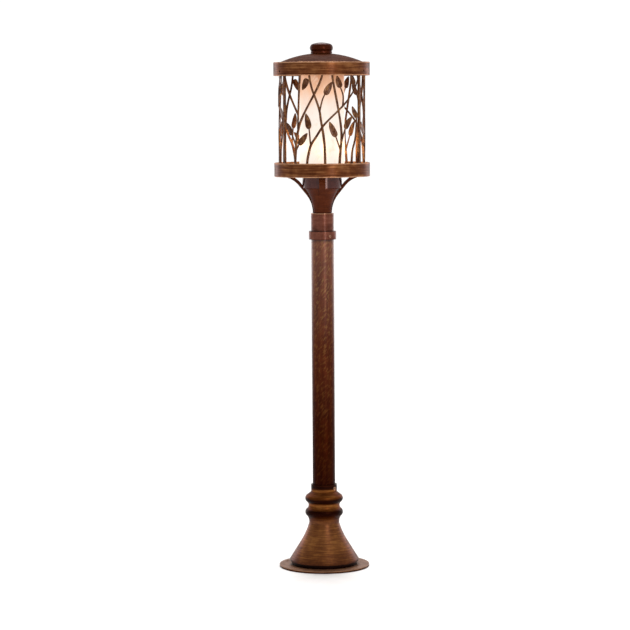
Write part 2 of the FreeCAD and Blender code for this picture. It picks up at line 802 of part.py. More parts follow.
def panel_holes():
    """Holes for the two foot screws, and for the rivets at both seams."""
    up = FreeCAD.Vector(0, 0, 1)
    middle = cage_middle.value
    holes = []
    screw_radius = D["cage_screw_radius"].value + D["seat_gap"].value
    for turn in (D["cage_screw_turn"].value, D["cage_screw_turn"].value - 60):
        place = on_cage(turn, 0, middle)
        depth = D["cage_screw_depth"].value + D["slip_gap"].value
        holes.append(Part.makeCylinder(screw_radius, depth, place, up))
    rivet_radius = D["rivet_radius"].value + D["seat_gap"].value
    length = 4 * D["cage_bar_width"].value
    for turn in (-PANEL_TURN / 2, PANEL_TURN / 2):
        for level in (rivet_low.value, rivet_high.value):
            place = on_cage(turn, 0, middle)
            place.z = level
            along = up.cross(FreeCAD.Vector(place.x, place.y, 0)).normalize()
            holes.append(Part.makeCylinder(rivet_radius, length, place - along * (length / 2),
                                           along))
    return holes


def make_cage_panels():
    solids = [rail(pan_floor.value, D["cage_foot_rail_height"].value),
              rail(cage_top.value - D["cage_head_rail_height"].value,
                   D["cage_head_rail_height"].value),
              seam_bar(-1), seam_bar(1)]
    for waypoints in TWIGS:
        solids += twig(waypoints, D["twig_radius"].value, D["twig_knuckle_radius"].value)
    solids += [leaf(*places) for places in LEAVES]
    panel = solids[0].multiFuse(solids[1:])
    panel = panel.cut(Part.makeCompound(panel_holes()))
    if len(panel.Solids) != 1:
        raise RuntimeError(f"the cage panel is in {len(panel.Solids)} pieces")
    for number in (1, 2, 3):
        label = f"cage_panel_{number}"
        node = DOC.addObject("Part::Feature", label)
        node.Shape = panel.Solids[0]
        node.Placement = FreeCAD.Placement(
            FreeCAD.Vector(), FreeCAD.Rotation(FreeCAD.Vector(0, 0, 1), (number - 1) * PANEL_TURN))
        NODES[label] = node


def make_cage_rivets():
    """Two rivets through the pair of bars at each seam."""
    body = new_body("cage_rivets", right_of_front(as_size(PANEL_TURN / 2)))
    grip = D["cage_bar_width"] + D["seat_gap"] * 2
    head = D["rivet_head_height"]
    features = []
    for name, level in (("low", rivet_low), ("high", rivet_high)):
        features.append(side_rod(body, f"{name}_shank", D["rivet_radius"], as_size(0) - grip - head,
                                 grip * 2 + head * 2, cage_middle, level))
        features.append(side_rod(body, f"{name}_head", D["rivet_head_radius"], grip, head,
                                 cage_middle, level))
        features.append(side_rod(body, f"{name}_tail", D["rivet_head_radius"],
                                 as_size(0) - grip - head, head, cage_middle, level))
    repeated(body, "rivets", features, 3)


def make_cage_screws():
    body = new_body("cage_screws", right_of_front(as_size(0)))
    radius = D["cage_screw_radius"]
    head = disc(body, "head", radius * 1.8, cup_top - radius, cup_top,
                cage_screw_across, cage_screw_aside)
    shank = disc(body, "shank", radius, cup_top - radius / 2, pan_floor + D["cage_screw_depth"],
                 cage_screw_across, cage_screw_aside)
    repeated(body, "screws", [head, shank], 6)


# ---------------------------------------------------------------- glass, lampholder and bulb
def make_glass_gallery():
    """A flat ring with a lip that the glass stands inside."""
    lip_inner = D["glass_radius"] + D["slip_gap"]
    thick = D["gallery_thick"]
    body = new_body("glass_gallery")
    turned(body, "gallery", [
        (D["glass_radius"] - D["glass_wall"] - thick, pan_floor),
        (lip_inner + thick, pan_floor),
        (lip_inner + thick, pan_floor + D["gallery_lip_height"]),
        (lip_inner, pan_floor + D["gallery_lip_height"]),
        (lip_inner, pan_floor + thick),
        (D["glass_radius"] - D["glass_wall"] - thick, pan_floor + thick),
    ])


def make_glass_cylinder():
    low = pan_floor + D["gallery_thick"]
    top = cage_top - D["glass_head_gap"]
    body = new_body("glass_cylinder")
    disc(body, "glass_rod", D["glass_radius"], low, top)
    bore(body, "glass_bore", D["glass_radius"] - D["glass_wall"], low, top)


chamber_top = holder_floor_top + D["holder_chamber_height"]
holder_seat = chamber_top + D["holder_partition"]
holder_top = holder_low + D["holder_height"]
shell_inner = D["bulb_cap_radius"] + D["slip_gap"]
shell_outer = shell_inner + D["shell_wall"]
bulb_low = holder_seat + D["contact_height"] + D["slip_gap"]
cap_low = bulb_low + D["contact_height"]
cap_top = cap_low + D["bulb_cap_height"]


def make_lampholder():
    """Porcelain body with a wiring chamber below the seat of the screw shell."""
    stem_hole = D["stem_radius"] + D["seat_gap"]
    pocket = shell_outer + D["seat_gap"]
    radius = shell_outer + D["holder_wall"]
    chamber = radius - 5.0
    body = new_body("lampholder_body")
    turned(body, "porcelain", [
        (stem_hole, holder_low),
        (radius, holder_low),
        (radius, holder_top),
        (pocket, holder_top),
        (pocket, holder_seat),
        (0, holder_seat),
        (0, chamber_top),
        (chamber, chamber_top),
        (chamber, holder_floor_top),
        (stem_hole, holder_floor_top),
    ])
    shell = new_body("lampholder_shell")
    disc(shell, "shell_rod", shell_outer, holder_seat, holder_top - 1.0)
    bore(shell, "shell_bore", shell_inner, holder_seat, holder_top - 1.0)
    contact = new_body("lampholder_contact")
    disc(contact, "contact_disc", D["contact_radius"], holder_seat,
         holder_seat + D["contact_height"])


def make_bulb():
    contact = new_body("bulb_contact")
    disc(contact, "contact_disc", D["contact_radius"], bulb_low, cap_low)
    cap = new_body("bulb_cap")
    radius = D["bulb_cap_radius"]
    wall = D["shell_wall"]
    shoulder = cap_low + 4.0
    turned(cap, "cap", [
        (0, cap_low),
        (D["contact_radius"] + 1.0, cap_low),
        (radius, shoulder),
        (radius, cap_top),
        (radius - wall, cap_top),
        (radius - wall, shoulder + wall),
        (D["contact_radius"] + 1.0, cap_low + wall),
        (0, cap_low + wall),
    ])
    glass = new_body("bulb_glass")
    outer = D["bulb_radius"]
    thin = D["bulb_glass_wall"]
    neck = radius - thin
    middle = cap_top + D["bulb_neck_length"]
    turned(glass, "envelope", [
        (neck, cap_top, outer * 2.2, LEFT),
        (radius, cap_top),
        (outer, middle, outer * 2.2, RIGHT),
        (0, middle + outer, outer, LEFT),
        (0, middle + outer - thin),
        (outer - thin, middle, outer - thin, RIGHT),
    ])


# ---------------------------------------------------------------- roof
def make_roof_band():
    radius = roof_radius
    inner = radius - D["roof_wall"]
    edge = D["roof_edge_round"]
    opening = dome_radius + D["seat_gap"]
    level = roof_low + D["roof_screw_height"]
    body = new_body("roof_band", right_of_front(as_size(PANEL_TURN / 2)))
    turned(body, "band", [
        (inner, roof_low),
        (radius - edge, roof_low),
        (radius, roof_low + edge, edge, LEFT),
        (radius, roof_top - edge),
        (radius - edge, roof_top, edge, LEFT),
        (opening, roof_top),
        (opening, dome_seat),
        (opening - D["roof_ledge_width"], dome_seat),
        (opening - D["roof_ledge_width"], roof_ledge),
        (inner, roof_ledge),
    ])
    hole = cross_bore(body, "screw_hole", D["roof_screw_radius"] + D["thread_gap"], level,
                      inner - 1.0, radius + D["slip_gap"])
    repeated(body, "screw_holes", [hole], 3)


def height_on_sphere(bend, across):
    return root(bend * bend - across * across)


dome_centre = dome_seat - height_on_sphere(D["dome_sphere_radius"] - D["dome_thick"],
                                           dome_radius)
stud_hole = D["finial_stud_radius"] + D["seat_gap"]


def make_roof_dome():
    outer = D["dome_sphere_radius"]
    inner = outer - D["dome_thick"]
    edge = dome_radius
    body = new_body("roof_dome")
    turned(body, "dome", [
        (stud_hole, dome_centre + height_on_sphere(inner, stud_hole)),
        (edge, dome_seat, inner, RIGHT),
        (edge, dome_centre + height_on_sphere(outer, edge)),
        (stud_hole, dome_centre + height_on_sphere(outer, stud_hole), outer, LEFT),
    ])


# ---------------------------------------------------------------- finial
foot_inner = D["finial_foot_radius"] - D["finial_foot_rim"]
finial_low = dome_centre + height_on_sphere(D["dome_sphere_radius"], foot_inner) + D["slip_gap"]
finial_hollow = dome_centre + D["dome_sphere_radius"] + D["slip_gap"] * 2
groove_low = finial_low + D["finial_foot_height"]
groove_top = groove_low + D["finial_groove_height"]
side_top = groove_top + D["finial_side_height"]
shoulder_top = side_top + D["finial_shoulder_height"]
finial_top = shoulder_top + D["finial_crown_height"]
stud_top = side_top - D["finial_shoulder_height"]


def make_finial_knob():
    crown = D["finial_crown_height"]
    shoulder = D["finial_shoulder_radius"]
    crown_bend = (shoulder * shoulder + crown * crown) / (crown * 2)
    bore_radius = D["finial_stud_radius"] + D["thread_gap"]
    body = new_body("finial_knob")
    turned(body, "knob", [
        (0, stud_top + D["slip_gap"]),
        (bore_radius, stud_top + D["slip_gap"]),
        (bore_radius, finial_hollow),
        (foot_inner, finial_hollow),
        (foot_inner, finial_low),
        (D["finial_foot_radius"], finial_low),
        (D["finial_foot_radius"], groove_low),
        (D["finial_groove_radius"], groove_low),
        (D["finial_groove_radius"], groove_top),
        (D["finial_side_radius"], side_top, D["finial_side_bend"], LEFT),
        (shoulder, shoulder_top, D["finial_shoulder_bend"], LEFT),
        (0, finial_top, crown_bend, LEFT),
    ])


def make_finial_fasteners():
    radius = D["finial_stud_radius"]
    washer_radius = radius * 2.6
    washer_top = dome_centre + height_on_sphere(D["dome_sphere_radius"] - D["dome_thick"],
                                                washer_radius) - D["seat_gap"]
    washer_low = washer_top - 1.5
    nut_low = washer_low - radius * 1.6
    washer = new_body("finial_washer")
    disc(washer, "washer_disc", washer_radius, washer_low, washer_top)
    bore(washer, "washer_hole", stud_hole, washer_low, washer_top)
    NODES["finial_nut"] = hex_nut("finial_nut", radius * 1.9, stud_hole, nut_low, radius * 1.6)
    stud = new_body("finial_stud")
    disc(stud, "stud_rod", radius, nut_low - 2.0, stud_top)


# ---------------------------------------------------------------- leads
def make_leads():
    """Two leads from the lampholder's chamber down the stem and the post, and the push-on
    connectors at their lower ends in the bell."""
    radius = D["lead_radius"]
    aside = D["stem_bore_radius"] - radius - D["slip_gap"]
    low = plate_top + D["lead_foot_clearance"]
    top = chamber_top - 2.0
    connector_top = low + D["connector_length"]
    leads = new_body("lead_wires")
    lead = disc(leads, "lead", radius, connector_top - 8.0, top, aside)
    repeated(leads, "leads", [lead], 2)
    connectors = new_body("wire_connectors")
    across = aside + D["connector_radius"] * 0.75
    shell = disc(connectors, "connector", D["connector_radius"], low, connector_top, across)
    hole = bore(connectors, "lead_hole", radius + D["seat_gap"], connector_top - 8.0,
                connector_top, aside)
    repeated(connectors, "connectors", [shell, hole], 2)


# ---------------------------------------------------------------- the whole lantern
def make_set_screws():
    screw = D["base_screw_radius"]
    make_set_screw("base_set_screw", D["base_screw_turn"], screw, base_screw_level,
                   D["post_radius"] + D["slip_gap"], bell_collar_radius + screw * 0.2)
    screw = D["collar_screw_radius"]
    make_set_screw("collar_set_screw", D["collar_screw_turn"], screw, collar_screw_level,
                   D["post_radius"] + D["slip_gap"], coupler_collar_radius)
    for number in (1, 2, 3):
        turn = as_size(PANEL_TURN * number - PANEL_TURN / 2)
        make_set_screw(f"roof_screw_{number}", turn, D["roof_screw_radius"],
                       roof_low + D["roof_screw_height"], D["cage_radius"] + D["slip_gap"],
                       roof_radius - 0.5)


def check_document():
    for item in DOC.Objects:
        if {"Invalid", "Error"} & set(item.State):
            raise RuntimeError(f"{item.Label} failed: {item.State}")
    for label, item in NODES.items():
        if item.Shape.isNull() or not item.Shape.isValid():
            raise RuntimeError(f"{label} has no valid shape")


def write_parts():
    os.makedirs("parts", exist_ok=True)
    for label, item in NODES.items():
        item.Shape.exportStep(os.path.join("parts", f"{label}.step"))
        box = item.Shape.BoundBox
        print(f"{label}: {len(item.Shape.Solids)} solid(s), {item.Shape.Volume:.0f} mm3, "
              f"z {box.ZMin:.1f} to {box.ZMax:.1f}")


MAKERS = [
    make_base_plate, make_bell_base, make_bell_screws, make_post_tube, make_post_coupler,
    make_neck_casting, make_socket_cup, make_stem_nipple, make_stem_nuts, make_lantern_pan,
    make_arm_screws, make_cage_panels, make_cage_rivets, make_cage_screws, make_glass_gallery,
    make_glass_cylinder, make_lampholder, make_bulb, make_roof_band, make_roof_dome,
    make_finial_knob, make_finial_fasteners, make_leads, make_set_screws,
]

for make in MAKERS:
    make()
DOC.recompute()
check_document()
write_parts()
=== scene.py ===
"""Garden path lantern on a post: the visible model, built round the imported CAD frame."""

import math
import random

import bmesh
import bpy
from mathutils import Euler, Matrix, Vector


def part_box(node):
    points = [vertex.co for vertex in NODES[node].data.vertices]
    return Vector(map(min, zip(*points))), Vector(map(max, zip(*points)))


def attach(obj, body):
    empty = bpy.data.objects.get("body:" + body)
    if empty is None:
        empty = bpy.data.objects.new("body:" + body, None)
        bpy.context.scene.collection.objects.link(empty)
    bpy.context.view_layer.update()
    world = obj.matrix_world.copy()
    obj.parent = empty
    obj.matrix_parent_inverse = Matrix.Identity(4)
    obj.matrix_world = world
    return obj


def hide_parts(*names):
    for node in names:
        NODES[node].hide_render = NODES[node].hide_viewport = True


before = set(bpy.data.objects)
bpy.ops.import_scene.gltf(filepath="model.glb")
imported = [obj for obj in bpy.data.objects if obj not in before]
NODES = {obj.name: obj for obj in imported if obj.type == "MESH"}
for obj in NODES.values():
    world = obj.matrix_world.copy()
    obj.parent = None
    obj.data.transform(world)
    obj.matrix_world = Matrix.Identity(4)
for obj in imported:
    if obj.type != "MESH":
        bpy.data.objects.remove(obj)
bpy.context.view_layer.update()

bl_info = {
    "name": "Path lantern on a post",
    "version": (1, 0, 0),
    "blender": (4, 5, 0),
    "location": "3D View > Sidebar > Lantern",
    "description": "Builds the woven cage, the castings and the finishes of a path lantern",
    "category": "Add Mesh",
}

MM = 0.001
# The cage is three like panels, each of this many degrees.
PANEL_TURN = 120.0
PANEL_HALF_TURN = PANEL_TURN / 2


# ---------------------------------------------------------------- materials

# Bronze marks are mostly the brush's streaks, and for the rest wider patches of wax.
STREAK_SHARE, PATCH_SHARE = 0.62, 0.38
# The strength of the marks at which a finish is darkest, plain and lightest, and what the
# darkest and the lightest marks do to its red, green, blue and alpha.
DARK_AT, PLAIN_AT, LIGHT_AT = 0.36, 0.5, 0.64
DARK_MARK = (0.42, 0.33, 0.24, 1)
LIGHT_MARK = (2.3, 3.1, 3.3, 1)
# Painted shade takes more green than red from the colour, and still more blue, so that it is
# redder.
SHADE_GREEN_POWER, SHADE_BLUE_POWER = 1.4, 1.8


def linear(hex_colour):
    """An sRGB hex colour as linear red, green, blue and alpha."""
    parts = [int(hex_colour[i:i + 2], 16) / 255 for i in (1, 3, 5)]
    return [p / 12.92 if p <= 0.04045 else ((p + 0.055) / 1.055) ** 2.4 for p in parts] + [1.0]


def blend(first, second, share):
    """A colour that lies a share of the way from one to another."""
    return [one + (two - one) * share for one, two in zip(first, second)]


def add(tree, kind, settings):
    """Adds one node. A setting is a property's value, an input's value, or a socket to link."""
    made = tree.nodes.new(kind)
    for key, value in settings.items():
        if isinstance(value, bpy.types.NodeSocket):
            tree.links.new(value, made.inputs[key])
        elif key == "stops":
            elements = made.color_ramp.elements
            while len(elements) > 1:
                elements.remove(elements[-1])
            for number, (position, colour) in enumerate(value):
                # rounding may take a stop just past the ramp's end
                position = min(max(position, 0.0), 1.0)
                stop = elements[0] if number == 0 else elements.new(position)
                stop.position = position
                stop.color = colour
        elif isinstance(key, str) and key not in made.inputs:
            setattr(made, key, value)
        else:
            made.inputs[key].default_value = value
    return made


def new_material(name, **surface_values):
    """A material with a Principled surface, its nodes, that surface and the object coordinates."""
    material = bpy.data.materials.new(name)
    material.use_nodes = True
    tree = material.node_tree
    tree.nodes.clear()
    surface = add(tree, "ShaderNodeBsdfPrincipled",
                  {key.replace("_", " "): value for key, value in surface_values.items()})
    add(tree, "ShaderNodeOutputMaterial", {"Surface": surface.outputs["BSDF"]})
    place = add(tree, "ShaderNodeTexCoord", {}).outputs["Object"]
    return material, tree, surface, place


def marks(tree, place, size_mm, detail=4.0, roughness=0.55, warp=0.0, slant=0.0):
    """Uneven marks, about size_mm across along x, y and z, that lean by slant degrees."""
    leaning = add(tree, "ShaderNodeMapping", {
        "Vector": place, "Rotation": (0, math.radians(slant), 0)})
    sized = add(tree, "ShaderNodeMapping", {
        "Vector": leaning.outputs["Vector"], "Scale": [1 / (size * MM) for size in size_mm]})
    return add(tree, "ShaderNodeTexNoise", {
        "Vector": sized.outputs["Vector"], "Scale": 1.0, "Detail": detail,
        "Roughness": roughness, "Distortion": warp}).outputs["Fac"]


def by_height(tree, place, levels):
    """Colours that follow the height, from (height in metres, colour) pairs in rising order."""
    low, high = levels[0][0], levels[-1][0]
    height = add(tree, "ShaderNodeSeparateXYZ", {"Vector": place}).outputs["Z"]
    share = add(tree, "ShaderNodeMapRange", {"Value": height, "From Min": low, "From Max": high})
    stops = [((level - low) / (high - low), colour) for level, colour in levels]
    return add(tree, "ShaderNodeValToRGB", {
        "Fac": share.outputs["Result"], "stops": stops}).outputs["Color"]


def rubbed_and_highlit_rims(tree, place, rims):
    """Rubbed metal that is also a painted highlight: white at each rim's height, black between,
    from (height, half width) pairs in metres.
    """
    black, white = (0, 0, 0, 1), (1, 1, 1, 1)
    levels = []
    for level, half in sorted(rims):
        levels += [(level - half, black), (level, white), (level + half, black)]
    return by_height(tree, place, levels)


def painted_shade_ramp(tree, place, tones):
    """Painted shade: less light, and redder, at the given heights, from (height, light left) pairs.
    """
    return by_height(tree, place, [
        (level, (light, light ** SHADE_GREEN_POWER, light ** SHADE_BLUE_POWER, 1))
        for level, light in tones])


def bronze(name, colour, rubbed, streak_mm, contrast=1.0, patch_mm=28, rims=(), wear_and_highlight=0.85,
           roughness=(0.26, 0.42), bump_mm=0.12, painted_shade_levels=(), flecks=None, lacquer=(),
           **surface_values):
    """Bronze finish: brush marks in a brown, bright at its rims and darkened by painted shade.

    Rims are (height, half width) pairs, where the rubbed metal is also a painted highlight; the
    painted shade is (height, light left) pairs and lacquer (height, coat weight) pairs, all in
    metres. Flecks are a colour, a size in millimetres, a slant in degrees and the most that they
    cover. The rims' strength is how bare and highlit they are at most, and roughness is that of the
    light and of the dark marks.
    """
    values = {"Metallic": 0.35, "Specular_IOR_Level": 0.14, "Specular_Tint": linear("#8A5030"),
              "Coat_Weight": 0.06, "Coat_Roughness": 0.16}
    material, tree, surface, place = new_material(name, **(values | surface_values))
    streaks = marks(tree, place, streak_mm, detail=5.0, roughness=0.62)
    patches = marks(tree, place, (patch_mm,) * 3, roughness=0.6, warp=0.4)
    patch_part = add(tree, "ShaderNodeMath", {
        "operation": "MULTIPLY", 0: patches, 1: PATCH_SHARE}).outputs[0]
    both = add(tree, "ShaderNodeMath", {
        "operation": "MULTIPLY_ADD", 0: streaks, 1: STREAK_SHARE, 2: patch_part}).outputs[0]
    dark, light = [[value * share ** contrast for value, share in zip(colour, mark)]
                   for mark in (DARK_MARK, LIGHT_MARK)]
    base = add(tree, "ShaderNodeValToRGB", {"Fac": both, "stops": [
        (DARK_AT, dark), (PLAIN_AT, colour), (LIGHT_AT, light)]}).outputs["Color"]
    if rims:
        # the wax stays on a rim in patches, so that the bare metal, which is also a painted
        # highlight, is broken
        grain = marks(tree, place, (14, 14, 3), detail=3.0)
        broken = add(tree, "ShaderNodeMapRange", {
            "Value": grain, "From Min": 0.34, "From Max": 0.56, "To Min": 0.35, "To Max": wear_and_highlight})
        bare_and_highlit = add(tree, "ShaderNodeMath", {
            "operation": "MULTIPLY", 0: rubbed_and_highlit_rims(tree, place, rims),
            1: broken.outputs["Result"]})
        base = add(tree, "ShaderNodeMix", {
            "data_type": "RGBA", 0: bare_and_highlit.outputs[0], 6: base, 7: rubbed}).outputs[2]
    if flecks:
        fleck_colour, size_mm, slant, most = flecks
        scratches = marks(tree, place, size_mm, detail=3.0, roughness=0.6, slant=slant)
        shown = add(tree, "ShaderNodeMapRange", {
            "Value": scratches, "From Min": 0.5, "From Max": 0.66, "To Min": 0.0, "To Max": most})
        base = add(tree, "ShaderNodeMix", {
            "data_type": "RGBA", 0: shown.outputs["Result"], 6: base, 7: fleck_colour}).outputs[2]
    # painted shade: darkens the colour, and makes it redder, at the listed heights
    if painted_shade_levels:
        base = add(tree, "ShaderNodeMix", {
            "data_type": "RGBA", "blend_type": "MULTIPLY", 0: 1.0, 6: base,
            7: painted_shade_ramp(tree, place, painted_shade_levels)}).outputs[2]
    shine = add(tree, "ShaderNodeMapRange", {
        "Value": both, "From Min": 0.3, "From Max": 0.7,
        "To Min": roughness[1], "To Max": roughness[0]})
    relief = add(tree, "ShaderNodeBump", {
        "Height": both, "Strength": 0.5, "Distance": bump_mm * MM})
    if lacquer:
        gloss = by_height(tree, place, [(level, (coat, coat, coat, 1)) for level, coat in lacquer])
        tree.links.new(gloss, surface.inputs["Coat Weight"])
    tree.links.new(base, surface.inputs["Base Color"])
    tree.links.new(shine.outputs["Result"], surface.inputs["Roughness"])
    tree.links.new(relief.outputs["Normal"], surface.inputs["Normal"])
    return material


def moulded(name, colour, light_share, grain_mm, relief_mm, **surface_values):
    """A smooth moulded, extruded or glazed skin, with a faint grain in colour and relief."""
    material, tree, surface, place = new_material(name, **surface_values)
    grain = marks(tree, place, (grain_mm,) * 3, detail=3.0)
    light = blend(colour, (1, 1, 1, 1), light_share)
    skin = add(tree, "ShaderNodeValToRGB", {"Fac": grain, "stops": [(0.35, colour), (0.65, light)]})
    relief = add(tree, "ShaderNodeBump", {
        "Height": grain, "Strength": 0.3, "Distance": relief_mm * MM})
    tree.links.new(skin.outputs["Color"], surface.inputs["Base Color"])
    tree.links.new(relief.outputs["Normal"], surface.inputs["Normal"])
    return material


# ---------------------------------------------------------------- pattern of the cage

# Each twig: its points as (degrees from the panel's middle, percent of the cage's height),
# then its radius in millimetres at the first point and at the last.
TWIGS = [
    ([(4, 2), (4, 21), (2.3, 33.4), (0.5, 42), (-1.8, 50.3), (-2.7, 58), (-9.5, 71.5),
      (-13.2, 77.3), (-17, 89), (-17.5, 98)], 3.0, 2.2),
    ([(-2.7, 58), (-0.5, 65.6), (2.6, 71.5), (5, 74)], 2.2, 1.6),
    ([(-21, 2), (-20.8, 10), (-18.7, 18.3), (-15.5, 26.8), (-8.6, 33.4), (-0.2, 42.8), (7.2, 48.6),
      (22.2, 57.9), (30.4, 63), (37.6, 68), (51.3, 78), (57.8, 87)], 3.0, 1.9),
    ([(-15.5, 26.8), (-16.2, 34), (-17.5, 44)], 2.1, 1.6),
    ([(23.5, 2), (23.8, 10), (25.2, 20.8), (26.8, 30), (27.1, 38), (25.4, 48), (22.9, 57.7),
      (20.3, 67.3), (17.3, 77.3), (14, 90), (13, 98)], 3.1, 2.1),
    ([(25.2, 20.8), (22.4, 27), (17.5, 36)], 2.1, 1.6),
    ([(26.8, 30), (29.3, 35.5), (33, 43)], 2.1, 1.6),
    ([(1.8, 98), (1.4, 91), (-3.4, 82.3), (-9.5, 74), (-17.1, 64.8), (-24.2, 56.1), (-30.4, 47.8),
      (-34.1, 39.5), (-36.4, 31.6), (-37.9, 20.8), (-40, 2)], 2.3, 3.1),
    ([(-37.8, 21), (-31, 28.5)], 2.1, 1.6),
    ([(-37.1, 26), (-40, 31.5), (-44.5, 37.5)], 2.1, 1.6),
    ([(-30, 98), (-30.6, 89), (-32.2, 72.7), (-32.9, 58.6), (-34.2, 44.5), (-33.8, 40)], 2.7, 2.2),
    ([(43, 2), (43.5, 21), (47.9, 26.6), (52.2, 35.7), (54, 53)], 2.8, 1.8),
    ([(28.7, 62), (30, 69), (28.5, 75), (24.5, 80.5)], 2.1, 1.6),
    ([(51.3, 78), (48, 84)], 2.1, 1.6),
    ([(-16.3, 86), (-20.5, 86)], 1.9, 1.6),
]
# Each leaf: its base, then its tip, placed in the same way.
LEAVES = [
    ((4.3, 72.7), (13.5, 84.3)),
    ((-17.3, 41.5), (-21.6, 55.7)),
    ((18.7, 34.1), (9.6, 48.2)),
    ((31.5, 41.5), (43.7, 52.8)),
    ((-32.6, 27), (-19.3, 37.8)),
    ((-43.3, 36.1), (-56.2, 47.8)),
    ((54.6, 51.3), (43.7, 62)),
    ((25.3, 79), (20.3, 90)),
    ((-19.6, 87.5), (-26.3, 77)),
    ((49, 82), (42, 92)),
]
# The seed of the twigs' uneven girth, and how much thinner or thicker they may be at a point.
TWIG_SEED = 11
TWIG_GIRTH = (0.88, 1.12)
# Width of a leaf, as a share of its greatest, from base to tip.
LEAF_OUTLINE = [0.4, 0.8, 0.95, 1.0, 1.0, 0.98, 0.94, 0.88, 0.79, 0.67, 0.52, 0.34, 0.12]
LEAF_COLUMNS = 8
# How far a leaf's tip turns outwards, and the share of that by which its base does.
LEAF_CURL = 1.6 * MM
LEAF_BASE_CURL = 0.4
# The side veins leave the midrib at every third row. The midrib is higher by this share.
VEIN_ROWS = 3
MIDRIB_RISE = 0.6
# Depth of a leaf's ends and of its middle under the outside of the cage.
LEAF_END_DEPTH = 2.4 * MM
LEAF_MIDDLE_DEPTH = 3.4 * MM
# The rails' and the seam bars' eased edges, and the steps in which they are drawn.
RAIL_EDGE = 1.0 * MM
RAIL_STEPS = 30
BAR_EDGE = 0.9 * MM
BAR_STEPS = 12
# Half the gap between the seam bars of two panels.
SEAM_HALF_GAP = 0.1 * MM
# Vertices nearer than this are one.
WELD_DISTANCE = 1e-6

cage_low, cage_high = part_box("cage_panel_1")


class LanternSizes(bpy.types.PropertyGroup):
    """Sizes of the woven cage"""
    cage_radius: bpy.props.FloatProperty(
        name="Cage radius", description="Distance from the axis to the outside of the twigs",
        default=-cage_low.y, unit="LENGTH")
    cage_foot: bpy.props.FloatProperty(
        name="Cage foot", description="Height at which the cage stands on its pan",
        default=cage_low.z, unit="LENGTH")
    cage_height: bpy.props.FloatProperty(
        name="Cage height", description="Height of the cage with both rails",
        default=cage_high.z - cage_low.z, unit="LENGTH")
    rail_height: bpy.props.FloatProperty(
        name="Rail height", description="Height of the head and foot rails",
        default=14 * MM, unit="LENGTH")
    rail_depth: bpy.props.FloatProperty(
        name="Rail depth", description="Thickness of the rails and of the seam bars",
        default=5 * MM, unit="LENGTH")
    bar_width: bpy.props.FloatProperty(
        name="Seam bar width", description="Width of the bar along each side of a panel",
        default=3.4 * MM, unit="LENGTH")
    leaf_width: bpy.props.FloatProperty(
        name="Leaf width", description="Greatest width of a leaf", default=14.5 * MM, unit="LENGTH")
    leaf_thickness: bpy.props.FloatProperty(
        name="Leaf thickness", description="Thickness of a leaf's sheet",
        default=1.5 * MM, unit="LENGTH")
    vein_height: bpy.props.FloatProperty(
        name="Vein height", description="Height of the raised veins",
        default=0.5 * MM, unit="LENGTH")


def colour_setting(name, description, hex_colour):
    """A colour that a user may change."""
    return bpy.props.FloatVectorProperty(name=name, description=description, subtype="COLOR",
                                         size=4, min=0.0, max=1.0, default=linear(hex_colour))


class LanternColours(bpy.types.PropertyGroup):
    """Colours of the finishes, of the lit glass and of the floor"""
    cage: colour_setting("Cage", "Brown of the cast twigs and leaves", "#5C371F")
    bands: colour_setting("Bands", "Brown of the roof's and pan's brushed bands", "#663A20")
    dome: colour_setting("Dome", "Dark brown of the spun dome", "#4E230C")
    knob: colour_setting("Knob", "Brown of the turned knob", "#4A1E0E")
    cup: colour_setting("Cup", "Plum brown of the drum under the pan", "#481C16")
    neck: colour_setting("Neck", "Red-brown of the cast neck and its arms", "#4C200C")
    collar: colour_setting("Collar", "Brown of the coupler and its collar", "#683A2C")
    post: colour_setting("Post", "Brown of the drawn tube", "#6A341A")
    flecks: colour_setting("Flecks", "Gold that shows through the post's brown", "#9A7444")
    bell: colour_setting("Bell", "Brown of the bell foot", "#784820")
    plate: colour_setting("Ground plate", "Brown of the plate under the bell", "#401C0A")
    rubbed: colour_setting("Rubbed metal", "Bare bronze on the rims", "#E8B48C")
    screws: colour_setting("Screws", "Bronzed steel of the fasteners", "#A88068")
    roof_screws: colour_setting("Roof screws", "Blackened steel of the roof's screws", "#2C140C")
    brass: colour_setting("Brass", "Pressed brass of the lampholder and bulb's cap", "#C8A458")
    glow_foot: colour_setting("Glass, foot", "Glow of the glass round the lamp", "#FFF5EC")
    glow_shoulder: colour_setting("Glass, shoulder", "Glow where it begins to darken", "#FAC6A2")
    glow_head: colour_setting("Glass, head", "Glow of the glass under the roof", "#C08058")
    paper: colour_setting("Floor", "Seamless paper under the lantern", "#F6F5F4")


# ---------------------------------------------------------------- modelling helpers

def select_none():
    """Leaves edit mode and deselects every object."""
    if bpy.context.object and bpy.context.object.mode != "OBJECT":
        bpy.ops.object.mode_set(mode="OBJECT")
    bpy.ops.object.select_all(action="DESELECT")


def select_only(piece):
    """Makes a piece the only one selected, and the active one."""
    select_none()
    piece.select_set(True)
    bpy.context.view_layer.objects.active = piece


def pick_vertices(piece, wanted):
    """In edit mode, selects just the vertices whose place passes a test."""
    shape = bmesh.from_edit_mesh(piece.data)
    bpy.ops.mesh.select_all(action="DESELECT")
    for vertex in shape.verts:
        vertex.select = wanted(vertex.co)
    shape.select_flush_mode()
    bmesh.update_edit_mesh(piece.data)


def apply_modifier(piece, kind, **settings):
    """Adds a modifier with its settings and applies it."""
    select_only(piece)
    modifier = piece.modifiers.new(kind.lower(), kind)
    for key, value in settings.items():
        setattr(modifier, key, value)
    bpy.ops.object.modifier_apply(modifier=modifier.name)


def join_pieces(pieces, name):
    """Joins pieces into one, named, with its place in its mesh."""
    select_none()
    for piece in pieces:
        piece.select_set(True)
    bpy.context.view_layer.objects.active = pieces[0]
    bpy.ops.object.join()
    joined = bpy.context.object
    joined.name = joined.data.name = name
    bpy.ops.object.transform_apply(location=True, rotation=True, scale=True)
    return joined


